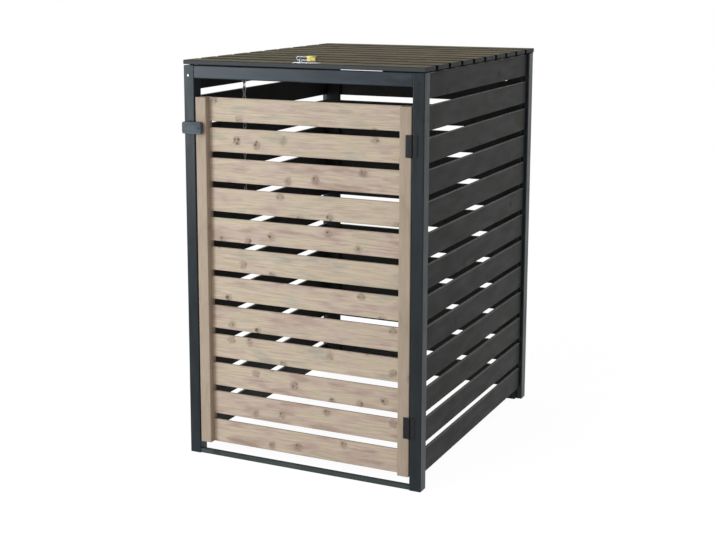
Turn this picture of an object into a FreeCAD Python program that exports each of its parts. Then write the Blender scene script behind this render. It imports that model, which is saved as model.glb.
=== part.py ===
"""Wheelie bin store: slatted timber box with a hinged front door and a hinged slatted lid.

Millimetres. +Z is up, the door is on the -Y side, and the origin is at the middle of the
ground face of the whole part. Inside this file every place is first given as x from the
left-hand side, y from the front face of the posts and z from the ground.
"""
import FreeCAD, Part
import math
import os
import Sketcher

V = FreeCAD.Vector
doc = FreeCAD.newDocument("wheelie_bin_store")

# Driving dimensions
SIZES = [
    # corner posts and the rail over the door
    ("store_width", 729), ("frame_depth", 926), ("post_width", 34), ("post_depth", 38),
    ("post_round", 3), ("rail_height", 36), ("rail_thickness", 22), ("rail_setback", 0.5),
    # slats, shared by the side panels, the back panel and the door
    ("ground_clearance", 37), ("slat_height", 67.3), ("slat_thickness", 9),
    ("slat_gap", 18.5), ("slat_rows", 13), ("slat_bevel", 1.5), ("panel_setback", 10),
    ("panel_headroom", 2.7),
    # uprights inside the back corners and the strip on the ground under the door
    ("upright_width", 50), ("upright_depth", 13), ("strip_height", 13), ("strip_depth", 14),
    ("strip_setback", 3), ("strip_round", 1.5),
    # door
    ("latch_side_gap", 2.5), ("hinge_side_gap", 2), ("stile_width", 34), ("stile_depth", 36),
    ("stile_round", 3), ("door_slat_setback", 19),
    # lid
    ("lid_gap", 3), ("lid_thickness", 12), ("lid_rows", 10), ("lid_slat_width", 76),
    ("lid_overhang", 5.9), ("batten_width", 34), ("batten_height", 20), ("batten_back", 50),
    ("batten_front", 46), ("batten_inset", 105), ("bumper_radius", 7), ("bumper_air", 0.3),
    # hinges of the door and of the lid
    ("door_hinge_length", 60), ("door_hinge_knuckles", 5), ("hinge_upper", 945),
    ("hinge_lower", 176.5), ("lid_hinge_length", 30), ("lid_hinge_knuckles", 3),
    ("leaf_width", 17), ("leaf_thickness", 1.6), ("knuckle_radius", 2.6), ("knuckle_lift", 0.2),
    ("hinge_pin_radius", 1.1), ("pin_air", 0.3), ("knuckle_air", 0.4), ("pin_head_height", 1),
    ("pin_head_radius", 2.1), ("pin_head_air", 0.1),
    # wood screws
    ("screw_radius", 1.5), ("screw_head_radius", 2.9), ("screw_head_height", 1.4),
    ("screw_length", 15), ("screw_air", 0.1), ("door_screw_spacing", 25), ("lid_screw_spacing", 16),
    ("lid_screw_length", 11), ("post_screw_length", 45), ("post_screw_drop", 28),
    # turn latch
    ("latch_length", 61.5), ("latch_height", 34), ("latch_thickness", 14), ("latch_round", 6),
    ("latch_level", 962), ("latch_end", 8.5), ("latch_washer_radius", 7),
    ("latch_washer_thickness", 1), ("latch_screw_radius", 2.4), ("latch_head_radius", 5),
    ("latch_head_height", 2.5), ("latch_screw_length", 38), ("latch_air", 0.2),
    # chain that hangs from the lid
    ("chain_x", 122), ("chain_y", 130), ("eye_wire", 1.5), ("eye_radius", 5.5),
    ("eye_shank", 14), ("link_wire", 1.3), ("link_inner_length", 13.4), ("link_inner_width", 5.8),
    ("link_slack", 0.3), ("link_count", 24), ("hook_wire", 1.8), ("hook_bend", 5),
    ("hook_shank", 18), ("hook_mouth", 7),
    # staple plate and padlock on the lid
    ("plate_x", 339), ("plate_front", 10), ("plate_length", 76), ("plate_width", 24),
    ("plate_thickness", 1.5), ("plate_screw_edge", 6), ("staple_wire", 1.5),
    ("staple_span", 11), ("staple_place", 19), ("staple_drop", 2), ("lock_height", 6.3),
    ("shackle_wire", 1.6), ("shackle_span", 9), ("shackle_clear", 28),
    ("shackle_seat_long", 12), ("shackle_seat_short", 5), ("seat_air", 0.3),
    ("lock_start", 41), ("lock_length", 27), ("lock_width", 16), ("lock_depth", 10),
    ("lock_round", 2),
]
sheet = doc.addObject("Spreadsheet::Sheet", "Sizes")
for number, (name, amount) in enumerate(SIZES, 1):
    sheet.set("A%d" % number, name)
    sheet.set("B%d" % number, str(amount))
    sheet.setAlias("B%d" % number, name)
doc.recompute()


class Size:
    """A number together with the expression that ties it to the sheet."""

    def __init__(self, text, value):
        self.text, self.value = text, float(value)

    def _join(self, other, sign, value, flip=False):
        other = other if isinstance(other, Size) else Size(repr(float(other)), other)
        a, b = (other, self) if flip else (self, other)
        return Size("(%s %s %s)" % (a.text, sign, b.text), value(a.value, b.value))

    def __add__(self, other):
        return self._join(other, "+", lambda a, b: a + b)

    def __radd__(self, other):
        return self._join(other, "+", lambda a, b: a + b, True)

    def __sub__(self, other):
        return self._join(other, "-", lambda a, b: a - b)

    def __rsub__(self, other):
        return self._join(other, "-", lambda a, b: a - b, True)

    def __mul__(self, other):
        return self._join(other, "*", lambda a, b: a * b)

    def __rmul__(self, other):
        return self._join(other, "*", lambda a, b: a * b, True)

    def __truediv__(self, other):
        return self._join(other, "/", lambda a, b: a / b)

    def __neg__(self):
        return Size("(0 - %s)" % self.text, -self.value)


def as_size(amount):
    return amount if isinstance(amount, Size) else Size(repr(float(amount)), amount)


class Sheet:
    """Gives each named cell as a Size."""

    def __getattr__(self, name):
        return Size("Sizes.%s" % name, float(getattr(sheet, name)))


S = Sheet()
nodes = {}

# Places that several pieces share
pitch = S.slat_height + S.slat_gap
panel_top = S.ground_clearance + (S.slat_rows - 1) * pitch + S.slat_height
door_top = panel_top - pitch
frame_top = panel_top + S.panel_headroom
inner_left = S.post_width
inner_right = S.store_width - S.post_width
door_left = inner_left + S.latch_side_gap
door_right = inner_right - S.hinge_side_gap
lid_under = frame_top + S.lid_gap
lid_top = lid_under + S.lid_thickness
lid_depth = S.frame_depth + S.lid_overhang
lid_pitch = (lid_depth - S.lid_slat_width) / (S.lid_rows - 1)
front_proud = S.latch_washer_thickness + S.latch_thickness + S.latch_head_height + 2 * S.latch_air
origin_x = S.store_width / 2
origin_y = (lid_depth - front_proud) / 2
door_pin_x = inner_right - S.hinge_side_gap / 2
knuckle_reach = S.knuckle_radius + S.knuckle_lift
door_pin_y = -knuckle_reach
lid_pin_y = S.frame_depth + knuckle_reach
lid_pin_z = lid_under - knuckle_reach


# Small helpers for bodies, sketches and features
def origin_part(body, role):
    return next(item for item in body.Origin.OriginFeatures if item.Role == role)


def new_body(name):
    body = doc.addObject("PartDesign::Body", name)
    body.AllowCompound = True
    return body


def place(thing, x, y, z, rotation=None):
    """Puts a body at x from the left, y from the front and z from the ground."""
    if rotation:
        thing.Placement = FreeCAD.Placement(V(), rotation)
    spots = ((".x", as_size(x) - origin_x), (".y", as_size(y) - origin_y), (".z", as_size(z)))
    for axis, amount in spots:
        thing.setExpression(".Placement.Base" + axis, amount.text)
    return thing


def new_sketch(body, role, lift=None):
    sketch = body.newObject("Sketcher::SketchObject", body.Name + "_sketch")
    sketch.AttachmentSupport = [(origin_part(body, role), "")]
    sketch.MapMode = "FlatFace"
    if lift is not None:
        sketch.setExpression(".AttachmentOffset.Base.z", as_size(lift).text)
    return sketch


def pin_point(sketch, geometry, corner, x, y):
    """Ties one point of a sketch to its two distances from the sketch's origin."""
    for kind, amount in (("DistanceX", as_size(x)), ("DistanceY", as_size(y))):
        made = sketch.addConstraint(
            Sketcher.Constraint(kind, -1, 1, geometry, corner, amount.value))
        sketch.setExpression("Constraints[%d]" % made, amount.text)


def draw_loop(sketch, points):
    """Draws a closed outline of straight lines through the points."""
    points = [(as_size(x), as_size(y)) for x, y in points]
    first = sketch.GeometryCount
    count = len(points)
    for i, (x, y) in enumerate(points):
        nx, ny = points[(i + 1) % count]
        sketch.addGeometry(
            Part.LineSegment(V(x.value, y.value, 0), V(nx.value, ny.value, 0)), False)
    for i in range(count):
        sketch.addConstraint(
            Sketcher.Constraint("Coincident", first + i, 2, first + (i + 1) % count, 1))
    for i, (x, y) in enumerate(points):
        pin_point(sketch, first + i, 1, x, y)


def draw_circle(sketch, x, y, radius):
    x, y, radius = as_size(x), as_size(y), as_size(radius)
    ring = sketch.addGeometry(
        Part.Circle(V(x.value, y.value, 0), V(0, 0, 1), radius.value), False)
    made = sketch.addConstraint(Sketcher.Constraint("Radius", ring, radius.value))
    sketch.setExpression("Constraints[%d]" % made, radius.text)
    pin_point(sketch, ring, 3, x, y)


def draw_round(sketch, x, y, radius, sides=8):
    """Draws a small round section with a few flats, which keeps many small pieces light.

    The radius is the distance to the flats, so a round pin of that size fits inside."""
    corner = as_size(radius) / math.cos(math.pi / sides)
    steps = [2 * math.pi * (i + 0.5) / sides for i in range(sides)]
    draw_loop(sketch, [(as_size(x) + corner * math.cos(step),
                        as_size(y) + corner * math.sin(step)) for step in steps])


def pad(body, sketch, length, reverse=False):
    feature = body.newObject("PartDesign::Pad", body.Name + "_pad")
    feature.Profile = sketch
    feature.Reversed = reverse
    feature.setExpression("Length", as_size(length).text)
    return feature


def pocket(body, sketch, depth, reverse=False):
    feature = body.newObject("PartDesign::Pocket", body.Name + "_pocket")
    feature.Profile = sketch
    feature.Reversed = reverse
    feature.setExpression("Length", as_size(depth).text)
    return feature


def row(body, features, role, spacing, count):
    """Repeats features along an axis, at the given spacing."""
    feature = body.newObject("PartDesign::LinearPattern", body.Name + "_row")
    feature.Originals = features
    feature.Direction = (origin_part(body, role), [""])
    feature.setExpression("Occurrences", as_size(count).text)
    feature.setExpression("Length", (as_size(spacing) * (as_size(count) - 1)).text)
    body.Tip = feature
    return feature


def keep(label, thing):
    """Names a finished sub-part; the label is its node and its file."""
    thing.Label = label
    nodes[label] = thing
    return thing


def group(label, members):
    made = doc.addObject("Part::Compound", label)
    made.Links = members
    return keep(label, made)


def bevelled(width, height, bevel):
    """Outline of a board's end with its four edges taken off."""
    return [(bevel, 0), (width - bevel, 0), (width, bevel), (width, height - bevel),
            (width - bevel, height), (bevel, height), (0, height - bevel), (0, bevel)]


def round_long_edges(body, base, direction, radius):
    """Rounds the edges that run along one direction."""
    doc.recompute()
    names = []
    for i, edge in enumerate(base.Shape.Edges, 1):
        if edge.Curve.TypeId != "Part::GeomLine":
            continue
        if abs(abs(edge.tangentAt(edge.FirstParameter).dot(direction)) - 1) < 1e-6:
            if edge.Length > 0.9 * max(other.Length for other in base.Shape.Edges):
                names.append("Edge%d" % i)
    feature = body.newObject("PartDesign::Fillet", body.Name + "_fillet")
    feature.Base = (base, names)
    feature.setExpression("Radius", as_size(radius).text)
    return feature


def bore(body, role, lift, spots, radius, depth, reverse=False):
    """Holes of one size, drilled from a plane that is lifted along its normal."""
    sketch = new_sketch(body, role, lift)
    for x, y in spots:
        draw_round(sketch, x, y, radius)
    return pocket(body, sketch, depth, reverse)


def countersink(body, role, lift, spots, reverse=False):
    """Sinks for the heads of wood screws, from the surface that they are flush with."""
    sinks = bore(body, role, lift, spots, S.screw_head_radius + S.screw_air,
                 S.screw_head_height, reverse)
    sinks.TaperAngle = -HEAD_TAPER


def standing_timber(label, width, depth, height, radius):
    """A standing timber with its long edges rounded; its front left foot is at its origin."""
    body = new_body(label)
    sketch = new_sketch(body, "XY_Plane")
    draw_loop(sketch, [(0, 0), (width, 0), (width, depth), (0, depth)])
    round_long_edges(body, pad(body, sketch, height), V(0, 0, 1), radius)
    return keep(label, body)


def lying_timber(label, length, depth, height, radius):
    """A timber that lies along X with its long edges rounded."""
    body = new_body(label)
    sketch = new_sketch(body, "YZ_Plane")
    draw_loop(sketch, [(0, 0), (depth, 0), (depth, height), (0, height)])
    round_long_edges(body, pad(body, sketch, length), V(1, 0, 0), radius)
    return keep(label, body)


def slat_panel(label, role, length, count):
    """A column of equal slats with even gaps, the lowest one at the panel's origin."""
    body = new_body(label)
    sketch = new_sketch(body, role)
    draw_loop(sketch, bevelled(S.slat_thickness, S.slat_height, S.slat_bevel))
    first = pad(body, sketch, length, reverse=role == "XZ_Plane")
    if count is not None:
        row(body, [first], "Z_Axis", pitch, count)
    return keep(label, body)


# Wood screws: a countersunk head flush with its seat and the shank behind it, along +Z
def wood_screw(name, length=None):
    body = new_body(name)
    sketch = new_sketch(body, "XY_Plane")
    draw_round(sketch, 0, 0, S.screw_head_radius)
    pad(body, sketch, S.screw_head_height).TaperAngle = -HEAD_TAPER
    sketch = new_sketch(body, "XY_Plane")
    draw_round(sketch, 0, 0, S.screw_radius)
    pad(body, sketch, S.screw_length if length is None else length)
    return body


HEAD_TAPER = 45
PAN_TAPER = 25
INTO_BACK = FreeCAD.Rotation(V(1, 0, 0), -90)
INTO_FRONT = FreeCAD.Rotation(V(1, 0, 0), 90)
INTO_LID = FreeCAD.Rotation()

# Corner posts
for label, x, y in (("post_front_left", 0, 0), ("post_front_right", inner_right, 0),
                    ("post_back_left", 0, S.frame_depth - S.post_depth),
                    ("post_back_right", inner_right, S.frame_depth - S.post_depth)):
    standing_timber(label, S.post_width, S.post_depth, frame_top, S.post_round)
    place(nodes[label], x, y, 0)

# Rail over the door and the strip on the ground under it
lying_timber("front_top_rail", inner_right - inner_left, S.rail_thickness, S.rail_height,
             S.post_round)
place(nodes["front_top_rail"], inner_left, S.rail_setback, frame_top - S.rail_height)
lying_timber("front_ground_strip", inner_right - inner_left, S.strip_depth, S.strip_height,
             S.strip_round)
place(nodes["front_ground_strip"], inner_left, S.strip_setback, 0)

# Side panels: slats from front post to back post
side_length = S.frame_depth - 2 * S.post_depth
slat_left_x = S.panel_setback
slat_right_x = S.store_width - S.panel_setback - S.slat_thickness
slat_middle = S.slat_thickness / 2
post_screw_z = frame_top - S.post_screw_drop
for label, x in (("left_side_slats", slat_left_x), ("right_side_slats", slat_right_x)):
    slat_panel(label, "XZ_Plane", side_length, S.slat_rows)
    bore(nodes[label], "XZ_Plane", 0,
         [(slat_middle, post_screw_z - S.ground_clearance)], S.screw_radius + S.screw_air,
         S.post_screw_length - S.post_depth + S.screw_air)
    place(nodes[label], x, S.post_depth, S.ground_clearance)

# Back panel: slats from post to post, screwed to an upright inside each corner
back_slat_y = S.frame_depth - S.post_depth
slat_panel("back_slats", "YZ_Plane", inner_right - inner_left, S.slat_rows)
place(nodes["back_slats"], inner_left, back_slat_y, S.ground_clearance)
for label, x in (("back_upright_left", slat_left_x + S.slat_thickness),
                 ("back_upright_right", slat_right_x - S.upright_width)):
    standing_timber(label, S.upright_width, S.upright_depth, frame_top, S.post_round)
    place(nodes[label], x, back_slat_y - S.upright_depth, 0)

# Door: two stiles with the slats set back between them
door_height = door_top - S.ground_clearance
stile_right_x = door_right - S.stile_width
for label, x in (("door_stile_left", door_left), ("door_stile_right", stile_right_x)):
    standing_timber(label, S.stile_width, S.stile_depth, door_height, S.stile_round)
    place(nodes[label], x, 0, S.ground_clearance)
door_slat_length = stile_right_x - door_left - S.stile_width
for number in range(1, int(S.slat_rows.value)):
    label = "door_slat_%02d" % number
    slat_panel(label, "YZ_Plane", door_slat_length, None)
    place(nodes[label], door_left + S.stile_width, S.door_slat_setback,
          S.ground_clearance + (number - 1) * pitch)

# Lid: slats across two battens
for number in range(1, int(S.lid_rows.value) + 1):
    label = "lid_slat_%02d" % number
    body = new_body(label)
    sketch = new_sketch(body, "YZ_Plane")
    draw_loop(sketch, bevelled(S.lid_slat_width, S.lid_thickness, S.slat_bevel))
    pad(body, sketch, S.store_width)
    keep(label, place(body, 0, (number - 1) * lid_pitch, lid_under))
batten_under = lid_under - S.batten_height
batten_length = S.frame_depth - S.batten_front - S.batten_back
for label, x in (("lid_batten_left", S.batten_inset),
                 ("lid_batten_right", S.store_width - S.batten_inset - S.batten_width)):
    body = new_body(label)
    sketch = new_sketch(body, "XZ_Plane")
    draw_loop(sketch, bevelled(S.batten_width, S.batten_height, S.slat_bevel))
    pad(body, sketch, batten_length, reverse=True)
    keep(label, place(body, x, S.batten_front, batten_under))

# Rubber bumpers on the front posts keep the lid off the frame
members = []
for x in (S.post_width / 2, S.store_width - S.post_width / 2):
    body = new_body("bumper")
    sketch = new_sketch(body, "XY_Plane")
    draw_round(sketch, 0, 0, S.bumper_radius, 16)
    pad(body, sketch, S.lid_gap - S.bumper_air)
    members.append(place(body, x, S.post_depth / 2, frame_top))
group("lid_bumpers", members)


# Butt hinges: the pin runs along Z, the plate reaches along +X and lies on timber at +Y
plate_near = S.knuckle_radius + S.knuckle_air
hole_x = (plate_near + S.leaf_width) / 2
plate_face = knuckle_reach - S.leaf_thickness


def hinge_leaf(name, length, knuckles, mine, holes):
    body = new_body(name)
    segment = (length - (knuckles - 1) * S.knuckle_air) / knuckles
    bore_radius = S.hinge_pin_radius + S.pin_air
    for place_in_row in mine:
        low = place_in_row * (segment + S.knuckle_air)
        ring = new_sketch(body, "XY_Plane", low)
        draw_round(ring, 0, 0, S.knuckle_radius, 12)
        draw_round(ring, 0, 0, bore_radius)
        pad(body, ring, segment)
        tail = new_sketch(body, "XY_Plane", low)
        draw_loop(tail, [(S.knuckle_radius * 0.12, S.knuckle_radius * 0.98),
                         (S.knuckle_radius * 0.62, plate_face), (plate_near, plate_face),
                         (plate_near, knuckle_reach)])
        pad(body, tail, segment)
    plate = new_sketch(body, "XY_Plane")
    draw_loop(plate, [(plate_near, plate_face), (S.leaf_width, plate_face),
                      (S.leaf_width, knuckle_reach), (plate_near, knuckle_reach)])
    pad(body, plate, length)
    bore(body, "XZ_Plane", -plate_face, [(hole_x, z) for z in holes],
         S.screw_radius + S.screw_air, S.leaf_thickness)
    countersink(body, "XZ_Plane", -plate_face, [(hole_x, z) for z in holes])
    return body


def hinge_pin(name, length):
    body = new_body(name)
    low = S.pin_head_height + S.pin_head_air
    sketch = new_sketch(body, "XY_Plane", -low)
    draw_circle(sketch, 0, 0, S.hinge_pin_radius)
    pad(body, sketch, length + 2 * low)
    for lift in (-low, length + S.pin_head_air):
        sketch = new_sketch(body, "XY_Plane", lift)
        draw_round(sketch, 0, 0, S.pin_head_radius)
        pad(body, sketch, S.pin_head_height)
    return body


def hole_places(length, spacing, count):
    return [length / 2 + (i - (count - 1) / 2) * spacing for i in range(count)]


# Door hinges
door_holes = hole_places(S.door_hinge_length, S.door_screw_spacing, 3)
door_knuckles = S.door_hinge_knuckles
all_knuckles = range(int(door_knuckles.value))
MIRRORED = FreeCAD.Rotation(V(0, 1, 0), 180)
hinge_feet = [level - S.door_hinge_length / 2 for level in (S.hinge_lower, S.hinge_upper)]
post_leaves, stile_leaves, pins, frame_screws, door_screws = [], [], [], [], []
for foot in hinge_feet:
    leaf = hinge_leaf("post_leaf", S.door_hinge_length, door_knuckles, all_knuckles[::2],
                      door_holes)
    post_leaves.append(place(leaf, door_pin_x, door_pin_y, foot))
    leaf = hinge_leaf("stile_leaf", S.door_hinge_length, door_knuckles, all_knuckles[1::2],
                      door_holes)
    stile_leaves.append(place(leaf, door_pin_x, door_pin_y, foot + S.door_hinge_length,
                              MIRRORED))
    pins.append(place(hinge_pin("door_pin", S.door_hinge_length), door_pin_x, door_pin_y, foot))
    for hole in door_holes:
        for side, screws in ((hole_x, frame_screws), (-hole_x, door_screws)):
            screws.append(place(wood_screw("screw"), door_pin_x + side,
                                door_pin_y + plate_face, foot + hole, INTO_BACK))
group("door_hinge_post_leaves", post_leaves)
group("door_hinge_stile_leaves", stile_leaves)
group("door_hinge_pins", pins)
group("door_hinge_screws", door_screws)
pilot = S.screw_radius + S.screw_air
pilot_depth = S.screw_length - S.leaf_thickness + S.screw_air
for label, x, base in (("post_front_right", door_pin_x + hole_x - inner_right, 0),
                       ("door_stile_right", door_pin_x - hole_x - stile_right_x,
                        S.ground_clearance)):
    bore(nodes[label], "XZ_Plane", 0,
         [(x, foot + hole - base) for foot in hinge_feet for hole in door_holes], pilot,
         pilot_depth)

# A long screw through each front post into the top slat of its side panel
for label, slat_x, post_x in (("post_front_left", slat_left_x, 0),
                              ("post_front_right", slat_right_x, inner_right)):
    x = slat_x + slat_middle
    bore(nodes[label], "XZ_Plane", 0, [(x - post_x, post_screw_z)], pilot, S.post_depth)
    countersink(nodes[label], "XZ_Plane", 0, [(x - post_x, post_screw_z)])
    frame_screws.append(place(wood_screw("long_screw", S.post_screw_length), x, 0,
                              post_screw_z, INTO_BACK))
group("frame_screws", frame_screws)

# Lid hinges: one leaf on the back of each back post, the other under the last lid slat
LID_LEAF = FreeCAD.Rotation(V(0, -1, 0), V(0, 0, 1), V(-1, 0, 0), "ZXY")
POST_LEAF = FreeCAD.Rotation(V(0, 0, -1), V(0, -1, 0), V(-1, 0, 0), "ZXY")
PIN_ALONG_X = FreeCAD.Rotation(V(0, 1, 0), -90)
lid_holes = hole_places(S.lid_hinge_length, S.lid_screw_spacing, 2)
all_knuckles = range(int(S.lid_hinge_knuckles.value))
last_slat = nodes["lid_slat_%02d" % int(S.lid_rows.value)]
last_slat_y = (S.lid_rows - 1) * lid_pitch
post_leaves, lid_leaves, pins, back_screws, lid_screws, lid_spots = [], [], [], [], [], []
for label, post_x in (("post_back_left", 0), ("post_back_right", inner_right)):
    end = as_size(post_x) + (S.post_width + S.lid_hinge_length) / 2
    leaf = hinge_leaf("lid_leaf", S.lid_hinge_length, S.lid_hinge_knuckles, all_knuckles[::2],
                      lid_holes)
    lid_leaves.append(place(leaf, end, lid_pin_y, lid_pin_z, LID_LEAF))
    leaf = hinge_leaf("back_leaf", S.lid_hinge_length, S.lid_hinge_knuckles,
                      all_knuckles[1::2], lid_holes)
    post_leaves.append(place(leaf, end, lid_pin_y, lid_pin_z, POST_LEAF))
    pins.append(place(hinge_pin("lid_pin", S.lid_hinge_length), end, lid_pin_y, lid_pin_z,
                      PIN_ALONG_X))
    for hole in lid_holes:
        back_screws.append(place(wood_screw("screw"), end - hole, lid_pin_y - plate_face,
                                 lid_pin_z - hole_x, INTO_FRONT))
        lid_screws.append(place(wood_screw("screw", S.lid_screw_length), end - hole,
                                lid_pin_y - hole_x, lid_pin_z + plate_face, INTO_LID))
        lid_spots.append((end - hole, lid_pin_y - hole_x - last_slat_y))
    bore(nodes[label], "XZ_Plane", -S.post_depth,
         [(end - hole - post_x, lid_pin_z - hole_x) for hole in lid_holes], pilot, pilot_depth,
         True)
bore(last_slat, "XY_Plane", 0, lid_spots, pilot,
     S.lid_screw_length - S.leaf_thickness + S.screw_air, True)
group("lid_hinge_post_leaves", post_leaves)
group("lid_hinge_lid_leaves", lid_leaves)
group("lid_hinge_pins", pins)
group("lid_hinge_post_screws", back_screws)
group("lid_hinge_lid_screws", lid_screws)

# Turn latch: a rounded wooden block on a washer, held by one round-headed screw
latch_x = door_left + S.stile_width / 2
body = new_body("latch")
sketch = new_sketch(body, "XZ_Plane")
half = S.latch_height / 2
draw_loop(sketch, [(S.latch_end - S.latch_length, -half), (S.latch_end, -half),
                   (S.latch_end, half), (S.latch_end - S.latch_length, half)])
base = pad(body, sketch, S.latch_thickness)
doc.recompute()
corners = ["Edge%d" % i for i, edge in enumerate(base.Shape.Edges, 1)
           if abs(edge.Length - S.latch_thickness.value) < 1e-6]
feature = body.newObject("PartDesign::Fillet", "latch_fillet")
feature.Base = (base, corners)
feature.setExpression("Radius", S.latch_round.text)
bore(body, "XZ_Plane", 0, [(0, 0)], S.latch_screw_radius + S.latch_air, S.latch_thickness, True)
latch_back = -(S.latch_washer_thickness + S.latch_air)
keep("latch_block", place(body, latch_x, latch_back, S.latch_level))
body = new_body("washer")
sketch = new_sketch(body, "XZ_Plane")
draw_round(sketch, 0, 0, S.latch_washer_radius, 16)
draw_round(sketch, 0, 0, S.latch_screw_radius + S.latch_air)
pad(body, sketch, S.latch_washer_thickness)
keep("latch_washer", place(body, latch_x, 0, S.latch_level))
body = new_body("latch_screw")
lip = S.latch_head_height
tip = lip + S.latch_screw_length
sketch = new_sketch(body, "XY_Plane", lip)
draw_round(sketch, 0, 0, S.latch_head_radius, 16)
pad(body, sketch, lip, True).TaperAngle = -PAN_TAPER
sketch = new_sketch(body, "XY_Plane", lip / 2)
draw_circle(sketch, 0, 0, S.latch_screw_radius)
pad(body, sketch, tip - lip / 2)
head_front = latch_back - S.latch_thickness - S.latch_air - lip
keep("latch_screw", place(body, latch_x, head_front, S.latch_level, INTO_BACK))
bore(nodes["door_stile_left"], "XZ_Plane", 0,
     [(latch_x - door_left, S.latch_level - S.ground_clearance)],
     S.latch_screw_radius + S.screw_air, head_front + tip + S.screw_air)


# Bent wire: an outline of straight runs with its long edges taken off to an octagon
CORNER = math.tan(math.pi / 8)


def half_turn(distance, level):
    """Corners of a wire's bend, at a distance from the bend's middle, from right to left."""
    near = distance * CORNER
    return [(distance, level + near), (near, level + distance), (-near, level + distance),
            (-distance, level + near)]


def closed_loop(distance, half_length):
    corners = half_turn(distance, half_length)
    return corners + [(-x, -y) for x, y in corners]


def arch(bend, wire, right_foot, left_foot):
    """Outline of a bent wire with two legs, round the middle of its bend."""
    outer, inner = bend + wire, bend - wire
    return ([(outer, right_foot)] + half_turn(outer, 0) + [(-outer, left_foot)]
            + [(-inner, left_foot)] + half_turn(inner, 0)[::-1] + [(inner, right_foot)])


def wire_body(name, outlines, wire):
    """A wire that lies in the XY plane of its body, and the features that make it."""
    body = new_body(name)
    sketch = new_sketch(body, "XY_Plane", -wire)
    for outline in outlines:
        draw_loop(sketch, outline)
    base = pad(body, sketch, 2 * wire)
    doc.recompute()
    flat = ["Edge%d" % i for i, edge in enumerate(base.Shape.Edges, 1)
            if edge.BoundBox.ZLength < 1e-6]
    feature = body.newObject("PartDesign::Chamfer", name + "_chamfer")
    feature.Base = (base, flat)
    feature.setExpression("Size", (wire * (1 - CORNER)).text)
    return body, [base, feature]


STANDING = FreeCAD.Rotation(V(1, 0, 0), 90)
STANDING_ACROSS = FreeCAD.Rotation(V(0, 1, 0), V(0, 0, 1), V(1, 0, 0), "ZXY")

# Screw eye under the left batten
eye_z = batten_under - S.eye_radius - S.eye_wire
outer, inner = S.eye_radius + S.eye_wire, S.eye_radius - S.eye_wire
body = wire_body("eye", [closed_loop(outer, 0), closed_loop(inner, 0)], S.eye_wire)[0]
sketch = new_sketch(body, "XZ_Plane", -S.eye_radius)
draw_round(sketch, 0, 0, S.eye_wire)
pad(body, sketch, S.eye_wire + S.eye_shank, True)
keep("chain_eye", place(body, S.chain_x, S.chain_y, eye_z, STANDING))
bore(nodes["lid_batten_left"], "XY_Plane", 0,
     [(S.chain_x - S.batten_inset, S.chain_y - S.batten_front)], S.eye_wire + S.screw_air,
     S.eye_shank + S.screw_air, True)

# Chain: equal links, every second one turned a quarter, all hanging from the eye
link_bend = S.link_inner_width / 2 + S.link_wire
link_half = (S.link_inner_length - S.link_inner_width) / 2
link_step = S.link_inner_length - S.link_slack
chain_pivot_z = eye_z - S.eye_radius
first_link_z = chain_pivot_z + S.eye_wire + S.link_slack - S.link_inner_length / 2
last_link_z = first_link_z - (S.link_count - 1) * link_step
link_outlines = [closed_loop(link_bend + S.link_wire, link_half),
                 closed_loop(link_bend - S.link_wire, link_half)]
members = []
for lowest, rotation in ((last_link_z, STANDING), (last_link_z + link_step, STANDING_ACROSS)):
    body, link = wire_body("links", link_outlines, S.link_wire)
    row(body, link, "Y_Axis", 2 * link_step, S.link_count / 2)
    members.append(place(body, S.chain_x, S.chain_y, lowest, rotation))
group("chain_links", members)

# Hook at the end of the chain: a long open link in the plane across the last one
hook_half = S.hook_shank / 2
hook_z = last_link_z - S.link_inner_length / 2 + S.link_slack - hook_half
hook_z = hook_z - (S.hook_bend - S.hook_wire)
outer, inner = S.hook_bend + S.hook_wire, S.hook_bend - S.hook_wire
body = wire_body("hook", [closed_loop(outer, hook_half), closed_loop(inner, hook_half)],
                 S.hook_wire)[0]
sketch = new_sketch(body, "XY_Plane", S.hook_wire)
draw_loop(sketch, [(-outer, 0), (0, 0), (0, S.hook_mouth), (-outer, S.hook_mouth)])
pocket(body, sketch, 2 * S.hook_wire)
keep("chain_hook", place(body, S.chain_x, S.chain_y, hook_z, STANDING_ACROSS))

# Staple plate on the front lid slat
plate_y = S.plate_front + S.plate_width / 2
plate_top = lid_top + S.plate_thickness
half = S.plate_width / 2
body = new_body("plate")
sketch = new_sketch(body, "XY_Plane")
draw_loop(sketch, [(0, -half), (S.plate_length, -half), (S.plate_length, half), (0, half)])
pad(body, sketch, S.plate_thickness)
plate_screws = [S.plate_screw_edge, S.plate_length - S.plate_screw_edge]
bore(body, "XY_Plane", S.plate_thickness, [(x, 0) for x in plate_screws], pilot,
     S.plate_thickness)
countersink(body, "XY_Plane", S.plate_thickness, [(x, 0) for x in plate_screws])
place(body, S.plate_x, plate_y, lid_top)
arch_z = S.lock_height - S.staple_drop
staple = wire_body("staple", [arch(S.staple_span / 2, S.staple_wire, -arch_z, -arch_z)],
                   S.staple_wire)[0]
place(staple, S.plate_x + S.staple_place, plate_y, plate_top + arch_z, STANDING_ACROSS)
group("staple_plate", [body, staple])
members = [place(wood_screw("plate_screw", S.lid_screw_length), S.plate_x + x, plate_y,
                 plate_top, FreeCAD.Rotation(V(1, 0, 0), 180)) for x in plate_screws]
group("plate_screws", members)
bore(nodes["lid_slat_01"], "XY_Plane", S.lid_thickness,
     [(S.plate_x + x, plate_y) for x in plate_screws], pilot,
     S.lid_screw_length - S.plate_thickness + S.screw_air)

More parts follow.
